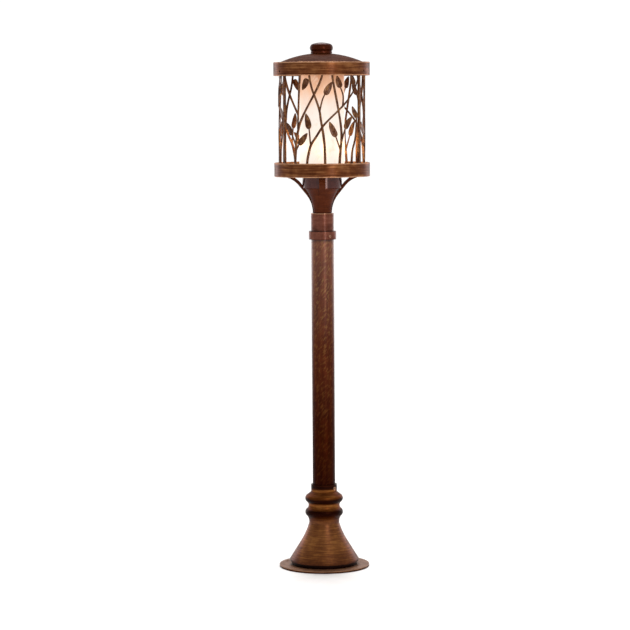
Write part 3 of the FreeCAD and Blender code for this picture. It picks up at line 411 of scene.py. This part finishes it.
def own_copy(piece, matrix):
    """A copy with its own mesh, moved by a matrix that is then applied."""
    made = piece.copy()
    made.data = piece.data.copy()
    bpy.context.scene.collection.objects.link(made)
    select_only(made)
    made.matrix_world = matrix @ made.matrix_world
    bpy.ops.object.transform_apply(location=True, rotation=True, scale=True)
    return made


def smooth(piece, degrees):
    """Shades a piece smooth, save for edges sharper than an angle."""
    select_only(piece)
    bpy.ops.object.shade_smooth_by_angle(angle=math.radians(degrees))


def finish_piece(piece, material, body, slot, *replaced):
    """Gives a piece its material and its body, and hides the CAD nodes it stands for. The slot is
    not used.
    """
    piece.data.materials.clear()
    piece.data.materials.append(material)
    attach(piece, body)
    if replaced:
        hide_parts(*replaced)


def on_cage(sizes, turn, share, radius):
    """A point of the front panel, from its place in the pattern and its distance from the axis."""
    angle = math.radians(turn)
    level = sizes.cage_foot + sizes.cage_height * share / 100
    return Vector((radius * math.sin(angle), -radius * math.cos(angle), level))


# ---------------------------------------------------------------- cage pieces

def make_twig(sizes, waypoints, first_radius, last_radius, chance):
    """A chain of points drawn out of one vertex, turned into a tapering round rod."""
    middle = sizes.cage_radius - max(first_radius, last_radius) * MM
    points = [on_cage(sizes, turn, share, middle) for turn, share in waypoints]
    bpy.ops.mesh.primitive_plane_add(size=MM, location=points[0])
    rod = bpy.context.object
    bpy.ops.object.mode_set(mode="EDIT")
    bpy.ops.mesh.select_all(action="SELECT")
    bpy.ops.mesh.merge(type="CENTER")
    for start, end in zip(points, points[1:]):
        bpy.ops.mesh.extrude_vertices_move(TRANSFORM_OT_translate={"value": end - start})
    bpy.ops.object.mode_set(mode="OBJECT")
    bpy.ops.object.convert(target="CURVE")
    line = rod.data.splines[0]
    line.type = "NURBS"
    line.order_u = 3
    line.use_endpoint_u = True
    rod.data.dimensions = "3D"
    rod.data.resolution_u = 5
    # the rod is one millimetre thick each way, so that a point's radius is in millimetres
    rod.data.bevel_depth = MM
    rod.data.bevel_resolution = 3
    rod.data.use_fill_caps = True
    # the line may come out drawn from its other end
    along = [Vector(point.co[:3]) + rod.location for point in line.points]
    if (along[0] - points[0]).length > (along[-1] - points[0]).length:
        first_radius, last_radius = last_radius, first_radius
    last = len(line.points) - 1
    for number, point in enumerate(line.points):
        taper = first_radius + (last_radius - first_radius) * number / last
        point.radius = taper * chance.uniform(*TWIG_GIRTH)
    bpy.ops.object.convert(target="MESH")
    return bpy.context.object


def make_leaf(sizes):
    """The pattern of a leaf: a curled sheet, one unit long and wide, with raised veins."""
    rows = len(LEAF_OUTLINE) - 1
    bpy.ops.mesh.primitive_grid_add(x_subdivisions=LEAF_COLUMNS, y_subdivisions=rows, size=1)
    sheet = bpy.context.object
    bpy.ops.object.mode_set(mode="EDIT")
    row_step, column_step = 1 / rows, 1 / LEAF_COLUMNS
    for row, share in enumerate(LEAF_OUTLINE):
        level = -0.5 + row * row_step
        pick_vertices(sheet, lambda co: abs(co.y - level) < row_step / 4)
        bpy.ops.transform.resize(value=(share, 1, 1), center_override=(0, level, 0))
        curl = LEAF_CURL * (2 * level) ** 2 * (1 if row else LEAF_BASE_CURL)
        bpy.ops.transform.translate(value=(0, 0, curl))

    def on_vein(co):
        row = round((co.y + 0.5) / row_step)
        half_width = LEAF_OUTLINE[row] / 2
        column = round(abs(co.x) / half_width * (LEAF_COLUMNS / 2))
        return column == 0 or (row - column) % VEIN_ROWS == 1 and column < LEAF_COLUMNS / 2

    pick_vertices(sheet, on_vein)
    bpy.ops.transform.translate(value=(0, 0, sizes.vein_height))
    pick_vertices(sheet, lambda co: abs(co.x) < column_step / 4)
    bpy.ops.transform.translate(value=(0, 0, sizes.vein_height * MIDRIB_RISE))
    bpy.ops.object.mode_set(mode="OBJECT")
    return sheet


def make_leaves(sizes):
    """All the leaves of the front panel, turned to the cage and given their thickness."""
    pattern = make_leaf(sizes)
    leaves = []
    for base_place, tip_place in LEAVES:
        end_radius = sizes.cage_radius - LEAF_END_DEPTH
        base = on_cage(sizes, *base_place, end_radius)
        tip = on_cage(sizes, *tip_place, end_radius)
        centre = (base + tip) / 2
        length = (tip - base).length
        along = (tip - base) / length
        outward = Vector((centre.x, centre.y, 0)).normalized()
        outward = (outward - along * outward.dot(along)).normalized()
        across = along.cross(outward)
        turn = Matrix((across, along, outward)).transposed().to_4x4()
        rise = sizes.cage_radius - LEAF_MIDDLE_DEPTH - centre.xy.length
        lift = Matrix.Translation(centre + outward * rise)
        leaf = own_copy(pattern, lift @ turn @ Matrix.Diagonal((sizes.leaf_width, length, 1, 1)))
        apply_modifier(leaf, "SOLIDIFY", thickness=sizes.leaf_thickness, offset=0)
        apply_modifier(leaf, "SUBSURF", levels=1, render_levels=1)
        leaves.append(leaf)
    bpy.data.objects.remove(pattern)
    return leaves


def make_rail(sizes, foot):
    """A third of a ring with eased edges, spun from its section."""
    inner = sizes.cage_radius - sizes.rail_depth
    middle = sizes.cage_radius - sizes.rail_depth / 2
    bpy.ops.mesh.primitive_plane_add(size=1, location=(0, 0, 0))
    rail = bpy.context.object
    bpy.ops.object.mode_set(mode="EDIT")
    bpy.ops.transform.resize(
        value=(sizes.rail_depth, sizes.rail_height, 1), center_override=(0, 0, 0))
    bpy.ops.mesh.select_all(action="SELECT")
    bpy.ops.mesh.bevel(offset=RAIL_EDGE, segments=2, affect="VERTICES")
    bpy.ops.object.mode_set(mode="OBJECT")
    start = math.radians(-90 - PANEL_HALF_TURN)
    upright = Euler((math.radians(90), 0, start)).to_matrix().to_4x4()
    centre = Vector((middle * math.cos(start), middle * math.sin(start),
                     foot + sizes.rail_height / 2))
    rail.matrix_world = Matrix.Translation(centre) @ upright
    bpy.ops.object.transform_apply(location=True, rotation=True, scale=True)
    bpy.ops.object.mode_set(mode="EDIT")
    bpy.ops.mesh.select_all(action="SELECT")
    bpy.ops.mesh.spin(steps=RAIL_STEPS, angle=math.radians(-PANEL_TURN),
                      center=(0, 0, 0), axis=(0, 0, 1))
    bpy.ops.mesh.select_all(action="SELECT")
    bpy.ops.mesh.remove_doubles(threshold=WELD_DISTANCE)
    bpy.ops.mesh.normals_make_consistent(inside=False)
    bpy.ops.object.mode_set(mode="OBJECT")
    return rail


def make_seam_bar(sizes, side):
    """The upright bar along one side of the panel, drawn up in lengths with an eased section."""
    inset = math.degrees((sizes.bar_width / 2 + SEAM_HALF_GAP) / sizes.cage_radius)
    angle = side * (PANEL_HALF_TURN - inset)
    middle = on_cage(sizes, angle, 0, sizes.cage_radius - sizes.rail_depth / 2)
    bpy.ops.mesh.primitive_plane_add(size=1, location=(0, 0, 0))
    bar = bpy.context.object
    bpy.ops.object.mode_set(mode="EDIT")
    bpy.ops.transform.resize(
        value=(sizes.bar_width, sizes.rail_depth, 1), center_override=(0, 0, 0))
    bpy.ops.mesh.bevel(offset=BAR_EDGE, segments=2, affect="VERTICES")
    bpy.ops.mesh.select_all(action="SELECT")
    for _ in range(BAR_STEPS):
        bpy.ops.mesh.extrude_region_move(
            TRANSFORM_OT_translate={"value": (0, 0, sizes.cage_height / BAR_STEPS)})
    bpy.ops.mesh.select_all(action="SELECT")
    bpy.ops.mesh.normals_make_consistent(inside=False)
    bpy.ops.object.mode_set(mode="OBJECT")
    bar.matrix_world = Matrix.Translation(middle) @ Matrix.Rotation(math.radians(angle), 4, "Z")
    bpy.ops.object.transform_apply(location=True, rotation=True, scale=True)
    return bar


class LANTERN_OT_cage(bpy.types.Operator):
    """Builds the three woven panels of twigs and leaves"""
    bl_idname = "lantern.cage"
    bl_label = "Cage panels"

    def execute(self, context):
        sizes = context.scene.lantern_sizes
        colours = context.scene.lantern_colours
        chance = random.Random(TWIG_SEED)
        parts = []
        for waypoints, first_radius, last_radius in TWIGS:
            select_none()
            parts.append(make_twig(sizes, waypoints, first_radius, last_radius, chance))
        select_none()
        parts += make_leaves(sizes)
        for foot in (sizes.cage_foot, sizes.cage_foot + sizes.cage_height - sizes.rail_height):
            select_none()
            parts.append(make_rail(sizes, foot))
        for side in (-1, 1):
            select_none()
            parts.append(make_seam_bar(sizes, side))
        front = join_pieces(parts, "woven_panel_1")
        smooth(front, 50)
        # cast bronze, waxed dark and rubbed back on the high spots: brown with gold glints
        finish = bronze("rubbed_cast_bronze", colours.cage, colours.rubbed, contrast=1.1,
                        streak_mm=(7, 7, 16), patch_mm=9, roughness=(0.3, 0.5), bump_mm=0.3,
                        Coat_Weight=0.3)
        panels = [front] + [
            own_copy(front, Matrix.Rotation(math.radians(PANEL_TURN * number), 4, "Z"))
            for number in (1, 2)]
        for number, panel in enumerate(panels, 1):
            panel.name = panel.data.name = f"woven_panel_{number}"
            finish_piece(panel, finish, "lantern", "rubbed_bronze", f"cage_panel_{number}")
        return {"FINISHED"}


# ---------------------------------------------------------------- finishes of the CAD nodes

# A band's rubbed rims, bare metal that is also a painted highlight: how far each lies inside the
# band's head or foot, and its half width.
HEAD_RIM_DEPTH, HEAD_RIM_HALF = 1.3 * MM, 1.7 * MM
FOOT_RIM_DEPTH, FOOT_RIM_HALF = 0.9 * MM, 1.2 * MM
COLLAR_RIM_DEPTH, COLLAR_RIM_HALF = 0.5 * MM, 1.0 * MM
PLATE_RIM_DEPTH, PLATE_RIM_HALF = 0.8 * MM, 1.2 * MM
# Painted shade: the share of the light that is left, as (height in metres, share).
# Neck: painted shade where it enters the coupler.
NECK_PAINTED_SHADE = [(0.802, 0.25), (0.805, 0.9), (0.84, 1.0), (0.9, 1.0)]
# Coupler: painted shade at its foot and in the groove over the collar.
COUPLER_PAINTED_SHADE = [
    (0.7434, 0.35), (0.7455, 1.0), (0.7605, 1.0), (0.7622, 0.15), (0.7645, 0.9), (0.79, 1.0),
    (0.8021, 0.9)]
# Post: painted shade, darker towards the foot, and a painted shadow right under the coupler.
POST_PAINTED_SHADE = [(0.18, 0.14), (0.32, 0.24), (0.46, 0.42), (0.62, 0.66), (0.736, 0.9), (0.742, 0.3)]
# Bell: painted shade, nearly black at the foot, under each bead and round the collar's joint; the
# beads' shoulders keep their full light.
BELL_PAINTED_SHADE = [
    (0.0, 0.04), (0.0125, 0.05), (0.0145, 0.4), (0.019, 0.55), (0.025, 0.72), (0.04, 0.82),
    (0.064, 1.0), (0.09, 0.85), (0.108, 0.55),
    (0.116, 0.22), (0.1195, 0.1), (0.1225, 0.06), (0.129, 0.08), (0.133, 0.6), (0.138, 0.9),
    (0.142, 1.0), (0.1455, 0.4), (0.148, 0.08), (0.155, 0.06), (0.159, 0.55), (0.163, 0.75),
    (0.168, 0.5), (0.171, 0.75), (0.175, 0.95),
    (0.178, 0.2), (0.181, 0.04), (0.184, 0.06), (0.1868, 0.16), (0.1874, 0.1)]
# How thick the lacquer is, as (height in metres, coat weight).
POST_LACQUER = [(0.3, 0.02), (0.5, 0.12), (0.64, 0.6), (0.75, 0.9)]
BELL_LACQUER = [(0.0, 0.0), (0.02, 0.25), (0.1, 0.3), (0.115, 0.02), (0.19, 0.04)]
# The post's flecks: size in millimetres, slant in degrees and the most that they cover.
FLECK_SIZE, FLECK_SLANT, FLECK_COVER = (4.0, 4.0, 13), -36, 0.7
# The glass's glow, as (share of its height, step on the way, share of that step): the first step
# leads from the foot's colour to the shoulder's, and the second on to the head's.
GLOW_STEPS = [(0.1, 1, 0.0), (0.5, 1, 0.0), (0.64, 1, 0.2), (0.73, 1, 0.6), (0.82, 1, 1.0),
              (0.92, 2, 0.45), (1.0, 2, 1.0)]
# How much a cloud in the glass moves the glow up or down, as a share of the glass's height.
CLOUD_SHIFT = 0.22
# How strongly the glass shines, and what it gives back of the light that falls on it.
GLASS_SHINE = 0.88
GLASS_UNLIT = (0.16, 0.14, 0.12, 1)


def coat(material, *names):
    """Gives a finish to the material slots of CAD nodes."""
    for name in names:
        for slot in NODES[name].material_slots:
            slot.material = material
        if not NODES[name].material_slots:
            raise RuntimeError(f"{name} has no material slot")


def heights(name):
    """The lowest and highest level of a CAD node, in metres."""
    return [corner.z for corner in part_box(name)]


class LANTERN_OT_roof(bpy.types.Operator):
    """Gives the roof, its knob and the pan's band their finishes"""
    bl_idname = "lantern.roof"
    bl_label = "Roof and bands"

    def execute(self, context):
        colours = context.scene.lantern_colours
        rims = []
        for low, high in (heights("roof_band"), heights("lantern_pan")):
            rims += [(high - HEAD_RIM_DEPTH, HEAD_RIM_HALF), (low + FOOT_RIM_DEPTH, FOOT_RIM_HALF)]
        # spun brass, bronzed and brushed round: long level streaks and bright rubbed rims, which
        # are also a painted highlight along each edge
        coat(bronze("brushed_bronze_bands", colours.bands, colours.rubbed, streak_mm=(60, 60, 2.2),
                    rims=rims), "roof_band", "lantern_pan")
        # spun dome under dark wax: satin and redder than the bands, with nothing bright on it
        coat(bronze("waxed_bronze_dome", colours.dome, colours.rubbed, contrast=0.5,
                    streak_mm=(60, 60, 1.6), patch_mm=22, roughness=(0.44, 0.6),
                    Metallic=0.0, Specular_IOR_Level=0.01, Coat_Weight=0.0), "roof_dome")
        # turned knob under the same wax, polished by hands: a soft shine on its shoulder
        coat(bronze("waxed_bronze_knob", colours.knob, colours.rubbed, contrast=0.6,
                    streak_mm=(12, 12, 1.2), patch_mm=7, Specular_IOR_Level=0.1), "finial_knob")
        return {"FINISHED"}


class LANTERN_OT_post(bpy.types.Operator):
    """Gives the drum, the neck, the coupler and the post their finishes"""
    bl_idname = "lantern.post"
    bl_label = "Neck and post"

    def execute(self, context):
        colours = context.scene.lantern_colours
        # drawn drum under clear lacquer: plum-brown, smooth and glossy
        coat(bronze("lacquered_plum_cup", colours.cup, colours.rubbed, contrast=0.35,
                    streak_mm=(30, 30, 12), patch_mm=18, roughness=(0.14, 0.22),
                    Coat_Weight=0.8, Coat_Roughness=0.18), "socket_cup")
        # cast neck, burnished: a saturated red-brown, with painted shade where it enters the
        # coupler
        coat(bronze("burnished_cast_neck", colours.neck, colours.rubbed, contrast=0.45,
                    streak_mm=(34, 34, 7), patch_mm=26, roughness=(0.2, 0.32), painted_shade_levels=NECK_PAINTED_SHADE,
                    Coat_Weight=0.1), "neck_casting")
        # turned coupler with its collar, bronzed: a bright rim that is rubbed wear and a painted
        # highlight, and painted shade in the groove over the collar
        coat(bronze("bronzed_coupler", colours.collar, colours.rubbed, contrast=0.5,
                    streak_mm=(30, 30, 9), patch_mm=12,
                    rims=[(heights("post_coupler")[1] - COLLAR_RIM_DEPTH, COLLAR_RIM_HALF)],
                    painted_shade_levels=COUPLER_PAINTED_SHADE, Coat_Weight=0.2), "post_coupler")
        # drawn tube, bronzed by hand with a slanting stroke: gold flecks in brown, with painted
        # shade that darkens it towards the foot and a painted shadow under the coupler, and lacquer
        # that is thickest at the top
        coat(bronze("bronzed_drawn_tube", colours.post, colours.rubbed, contrast=0.5,
                    streak_mm=(7, 7, 90), patch_mm=26, roughness=(0.28, 0.42), painted_shade_levels=POST_PAINTED_SHADE,
                    flecks=(colours.flecks, FLECK_SIZE, FLECK_SLANT, FLECK_COVER),
                    lacquer=POST_LACQUER, Specular_IOR_Level=0.04, Coat_Roughness=0.36),
             "post_tube")
        return {"FINISHED"}


class LANTERN_OT_foot(bpy.types.Operator):
    """Gives the bell foot and the ground plate their finishes"""
    bl_idname = "lantern.foot"
    bl_label = "Bell and plate"

    def execute(self, context):
        colours = context.scene.lantern_colours
        # turned bell, bronzed and brushed round: warm brown with fine gold streaks, and painted
        # shade that is nearly black under each bead and at the foot, with the beads' shoulders left
        # at full light
        coat(bronze("brushed_bronze_bell", colours.bell, colours.rubbed, contrast=0.7,
                    streak_mm=(36, 36, 2.0), patch_mm=24, painted_shade_levels=BELL_PAINTED_SHADE, lacquer=BELL_LACQUER,
                    Specular_IOR_Level=0.06, Coat_Roughness=0.38), "bell_base")
        # steel plate with a baked brown coat, worn along its edge, where the bright rim is also a
        # painted highlight
        coat(bronze("coated_steel_plate", colours.plate, colours.rubbed, contrast=0.6, wear_and_highlight=0.5,
                    streak_mm=(14, 14, 3), patch_mm=12, roughness=(0.4, 0.55),
                    rims=[(heights("base_plate")[1] - PLATE_RIM_DEPTH, PLATE_RIM_HALF)],
                    Metallic=0.1, Specular_IOR_Level=0.08), "base_plate")
        return {"FINISHED"}


class LANTERN_OT_fasteners(bpy.types.Operator):
    """Gives the screws, rivets, nuts and the glass gallery their finish"""
    bl_idname = "lantern.fasteners"
    bl_label = "Fasteners"

    def execute(self, context):
        colours = context.scene.lantern_colours
        # plated steel, bronzed and rubbed in use: paler than the castings round it
        coat(bronze("bronzed_steel_screws", colours.screws, colours.rubbed, contrast=0.4,
                    streak_mm=(3, 3, 0.8), patch_mm=3, roughness=(0.2, 0.34)),
             "base_set_screw", "collar_set_screw", "cage_rivets", "cage_screws", "arm_screws",
             "bell_screws", "stem_nuts", "stem_nipple", "finial_stud", "finial_washer",
             "finial_nut", "glass_gallery")
        # blackened steel: small dark heads in the roof's band
        coat(bronze("blackened_steel_screws", colours.roof_screws, colours.rubbed, contrast=0.4,
                    streak_mm=(3, 3, 0.8), patch_mm=3, roughness=(0.3, 0.45)),
             "roof_screw_1", "roof_screw_2", "roof_screw_3")
        return {"FINISHED"}


class LANTERN_OT_glass(bpy.types.Operator):
    """Gives the glass cylinder its lit opal finish"""
    bl_idname = "lantern.glass"
    bl_label = "Opal glass"

    def execute(self, context):
        colours = context.scene.lantern_colours
        glows = (colours.glow_foot, colours.glow_shoulder, colours.glow_head)
        low, high = heights("glass_cylinder")
        # opal glass, blown and cased, lit from inside: cream low down, peach where it darkens
        material, tree, surface, place = new_material(
            "lit_opal_glass", Emission_Strength=GLASS_SHINE, Roughness=0.5, IOR=1.52)
        height = add(tree, "ShaderNodeSeparateXYZ", {"Vector": place}).outputs["Z"]
        # a cloud is of middling strength nearly everywhere, so half its shift is taken off first
        share = add(tree, "ShaderNodeMapRange", {
            "Value": height, "From Min": low, "From Max": high,
            "To Min": -CLOUD_SHIFT / 2, "To Max": 1 - CLOUD_SHIFT / 2})
        cloud = marks(tree, place, (30, 30, 60), detail=3.0, roughness=0.5, warp=0.6)
        moved = add(tree, "ShaderNodeMath", {
            "operation": "MULTIPLY_ADD", 0: cloud, 1: CLOUD_SHIFT, 2: share.outputs["Result"]})
        stops = [(level, blend(glows[step - 1], glows[step], part))
                 for level, step, part in GLOW_STEPS]
        glow = add(tree, "ShaderNodeValToRGB", {"Fac": moved.outputs[0], "stops": stops})
        # faint peach clouds inside the glass
        blush = add(tree, "ShaderNodeMapRange", {
            "Value": marks(tree, place, (16, 16, 26), roughness=0.6, warp=1.0),
            "From Min": 0.5, "From Max": 0.7, "To Min": 0.0, "To Max": 0.6})
        lit = add(tree, "ShaderNodeMix", {
            "data_type": "RGBA", 0: blush.outputs["Result"], 6: glow.outputs["Color"],
            7: blend(glows[0], glows[1], 0.6)}).outputs[2]
        skin = add(tree, "ShaderNodeMix", {
            "data_type": "RGBA", "blend_type": "MULTIPLY", 0: 1.0, 6: lit, 7: GLASS_UNLIT})
        tree.links.new(lit, surface.inputs["Emission Color"])
        tree.links.new(skin.outputs[2], surface.inputs["Base Color"])
        coat(material, "glass_cylinder")
        return {"FINISHED"}


class LANTERN_OT_lamp(bpy.types.Operator):
    """Gives the bulb, its holder and the leads their finishes"""
    bl_idname = "lantern.lamp"
    bl_label = "Lamp and leads"

    def execute(self, context):
        colours = context.scene.lantern_colours
        # lamp glass, frosted inside: bright and slightly warm
        material, tree, surface, place = new_material(
            "frosted_lamp_glass", Emission_Strength=1.5, IOR=1.5)
        frost = marks(tree, place, (2, 2, 2), detail=3.0)
        rough = add(tree, "ShaderNodeMapRange", {"Value": frost, "To Min": 0.2, "To Max": 0.45})
        tint = add(tree, "ShaderNodeValToRGB", {"Fac": frost, "stops": [
            (0.3, linear("#FFE9C8")), (0.7, linear("#FFF6E6"))]}).outputs["Color"]
        tree.links.new(tint, surface.inputs["Base Color"])
        tree.links.new(tint, surface.inputs["Emission Color"])
        tree.links.new(rough.outputs["Result"], surface.inputs["Roughness"])
        coat(material, "bulb_glass")
        # glazed porcelain: white, glossy, faintly uneven
        coat(moulded("glazed_porcelain", linear("#E9E4DA"), 0.5, 6, 0.1, Roughness=0.12, IOR=1.5),
             "lampholder_body")
        # pressed brass: a bright yellow metal with fine rubbing marks
        coat(bronze("bright_pressed_brass", colours.brass, colours.rubbed, contrast=0.4,
                    streak_mm=(8, 8, 0.8), patch_mm=6, roughness=(0.16, 0.3), Metallic=1.0),
             "lampholder_shell", "lampholder_contact", "bulb_cap", "bulb_contact")
        # extruded vinyl insulation: black and satin, with a fine grain
        coat(moulded("extruded_black_insulation", linear("#141312"), 0.01, 1.5, 0.05,
                     Roughness=0.42), "lead_wires")
        # moulded nylon caps: tan and satin
        coat(moulded("moulded_tan_nylon", linear("#B88A50"), 0.15, 1.5, 0.05, Roughness=0.36),
             "wire_connectors")
        return {"FINISHED"}


# ---------------------------------------------------------------- stage

# The floor's side in metres, so wide that its edge stays out of sight.
FLOOR_SIZE = 80
# The surround's strength before and behind the lantern, and what is added to it overhead.
SURROUND_BEFORE, SURROUND_BEHIND, SURROUND_OVERHEAD = 0.3, 1.06, 0.16
# Each soft box: its place, the point that it faces, its width and height, its power, its colour.
SOFT_BOXES = {
    "right_strip": ((1.1, -2.5, 1.5), (0, 0, 0.75), (0.5, 2.2), 26, "#FFF0E8"),
    "left_back": ((-2.0, 2.3, 1.1), (0, 0, 0.7), (0.9, 2.2), 16, "#FFF0EC"),
    "right_back": ((2.0, 2.3, 1.1), (0, 0, 0.7), (0.9, 2.2), 16, "#FFF0EC"),
}
# The high light: the way that it shines, its strength and how wide it looks, in degrees.
HIGH_LIGHT_WAY, HIGH_LIGHT_STRENGTH, HIGH_LIGHT_WIDTH = (0, -0.62, -0.78), 2.1, 36
# The lamp's glow on the cage: a ring of points between the glass and the twigs. How many there
# are and the first one's angle in degrees, then the ring's radius and level, and each one's power
# and size.
GLOW_POINTS, GLOW_START = 6, 30
GLOW_RADIUS, GLOW_LEVEL, GLOW_POWER, GLOW_SIZE = 69 * MM, 0.95, 0.11, 12 * MM
GLOW_COLOUR = "#FFD088"
# The camera: its place, its lens in millimetres, and its tilt down and its roll in degrees.
CAMERA_PLACE, CAMERA_LENS, CAMERA_TILT, CAMERA_ROLL = (-0.018, -5.507, 1.058), 140, 5.04, -0.36


def soft_box(name, place, aim, size, power, colour):
    """A rectangular studio light turned towards a point."""
    bpy.ops.object.light_add(type="AREA", location=place)
    box = bpy.context.object
    box.name = name
    box.data.shape = "RECTANGLE"
    box.data.size, box.data.size_y = size
    box.data.energy = power
    box.data.color = linear(colour)[:3]
    box.rotation_euler = (Vector(aim) - Vector(place)).to_track_quat("-Z", "Y").to_euler()


class LANTERN_OT_stage(bpy.types.Operator):
    """Sets the floor, the studio lights and the camera"""
    bl_idname = "lantern.stage"
    bl_label = "Stage"

    def execute(self, context):
        scene = context.scene
        select_none()
        bpy.ops.mesh.primitive_plane_add(size=FLOOR_SIZE, location=(0, 0, 0))
        floor = bpy.context.object
        floor.name = floor.data.name = "studio_floor"
        # seamless paper: pale, matt
        floor.data.materials.append(moulded("pale_paper", scene.lantern_colours.paper, 0.4, 40, 0.1,
                                            Roughness=0.9, Specular_IOR_Level=0.1))

        world = bpy.data.worlds.new("studio_surround")
        scene.world = world
        world.use_nodes = True
        tree = world.node_tree
        tree.nodes.clear()
        direction = add(tree, "ShaderNodeTexCoord", {}).outputs["Generated"]
        parts = add(tree, "ShaderNodeSeparateXYZ", {"Vector": direction})
        behind = add(tree, "ShaderNodeMapRange", {
            "Value": parts.outputs["Y"], "From Min": 0.0, "From Max": 0.95,
            "To Min": SURROUND_BEFORE, "To Max": SURROUND_BEHIND})
        above = add(tree, "ShaderNodeMapRange", {
            "Value": parts.outputs["Z"], "From Min": 0.1, "From Max": 0.9,
            "To Min": 0.0, "To Max": SURROUND_OVERHEAD})
        light = add(tree, "ShaderNodeMath", {
            "operation": "ADD", 0: behind.outputs["Result"], 1: above.outputs["Result"]})
        background = add(tree, "ShaderNodeBackground", {
            "Color": linear("#FFFFFF"), "Strength": light.outputs[0]})
        add(tree, "ShaderNodeOutputWorld", {"Surface": background.outputs["Background"]})

        for name, settings in SOFT_BOXES.items():
            soft_box(name, *settings)
        # a broad, even light from above and behind, which lays a soft shadow before the foot
        bpy.ops.object.light_add(type="SUN", location=(0, 1.0, 3.0))
        sky = bpy.context.object
        sky.name = "high_back"
        sky.data.energy = HIGH_LIGHT_STRENGTH
        sky.data.angle = math.radians(HIGH_LIGHT_WIDTH)
        sky.rotation_euler = Vector(HIGH_LIGHT_WAY).to_track_quat("-Z", "Y").to_euler()
        for number in range(GLOW_POINTS):
            angle = math.radians(GLOW_START + 360 / GLOW_POINTS * number)
            bpy.ops.object.light_add(type="POINT", location=(
                GLOW_RADIUS * math.cos(angle), GLOW_RADIUS * math.sin(angle), GLOW_LEVEL))
            lamp = bpy.context.object
            lamp.name = f"lamp_glow_{number + 1}"
            lamp.data.energy = GLOW_POWER
            lamp.data.color = linear(GLOW_COLOUR)[:3]
            lamp.data.shadow_soft_size = GLOW_SIZE

        bpy.ops.object.camera_add(location=CAMERA_PLACE)
        camera = bpy.context.object
        camera.name = "view_camera"
        camera.data.lens = CAMERA_LENS
        camera.data.sensor_width = 36
        tilt = Euler((math.radians(90 - CAMERA_TILT), 0, 0)).to_matrix()
        roll = Matrix.Rotation(math.radians(CAMERA_ROLL), 3, "Z")
        camera.rotation_euler = (tilt @ roll).to_euler()
        scene.camera = camera
        scene.view_settings.view_transform = "Standard"
        return {"FINISHED"}


class LANTERN_PT_panel(bpy.types.Panel):
    """Lists the sizes, the colours and the operators"""
    bl_label = "Path lantern"
    bl_idname = "LANTERN_PT_panel"
    bl_space_type = "VIEW_3D"
    bl_region_type = "UI"
    bl_category = "Lantern"

    def draw(self, context):
        for group in (context.scene.lantern_sizes, context.scene.lantern_colours):
            for name in type(group).__annotations__:
                self.layout.prop(group, name)
        for operator in OPERATORS:
            self.layout.operator(operator.bl_idname)


OPERATORS = (LANTERN_OT_stage, LANTERN_OT_cage, LANTERN_OT_roof, LANTERN_OT_post, LANTERN_OT_foot,
             LANTERN_OT_fasteners, LANTERN_OT_glass, LANTERN_OT_lamp)
CLASSES = (LanternSizes, LanternColours) + OPERATORS + (LANTERN_PT_panel,)


def register():
    """Adds the settings, the operators and the panel."""
    for each in CLASSES:
        bpy.utils.register_class(each)
    bpy.types.Scene.lantern_sizes = bpy.props.PointerProperty(type=LanternSizes)
    bpy.types.Scene.lantern_colours = bpy.props.PointerProperty(type=LanternColours)


def unregister():
    """Takes the panel, the operators and the settings away again."""
    del bpy.types.Scene.lantern_colours
    del bpy.types.Scene.lantern_sizes
    for each in reversed(CLASSES):
        bpy.utils.unregister_class(each)


def main():
    """Builds the stage and every piece."""
    register()
    bpy.ops.lantern.stage()
    bpy.ops.lantern.cage()
    bpy.ops.lantern.roof()
    bpy.ops.lantern.post()
    bpy.ops.lantern.foot()
    bpy.ops.lantern.fasteners()
    bpy.ops.lantern.glass()
    bpy.ops.lantern.lamp()


if __name__ == "__main__":
    main()
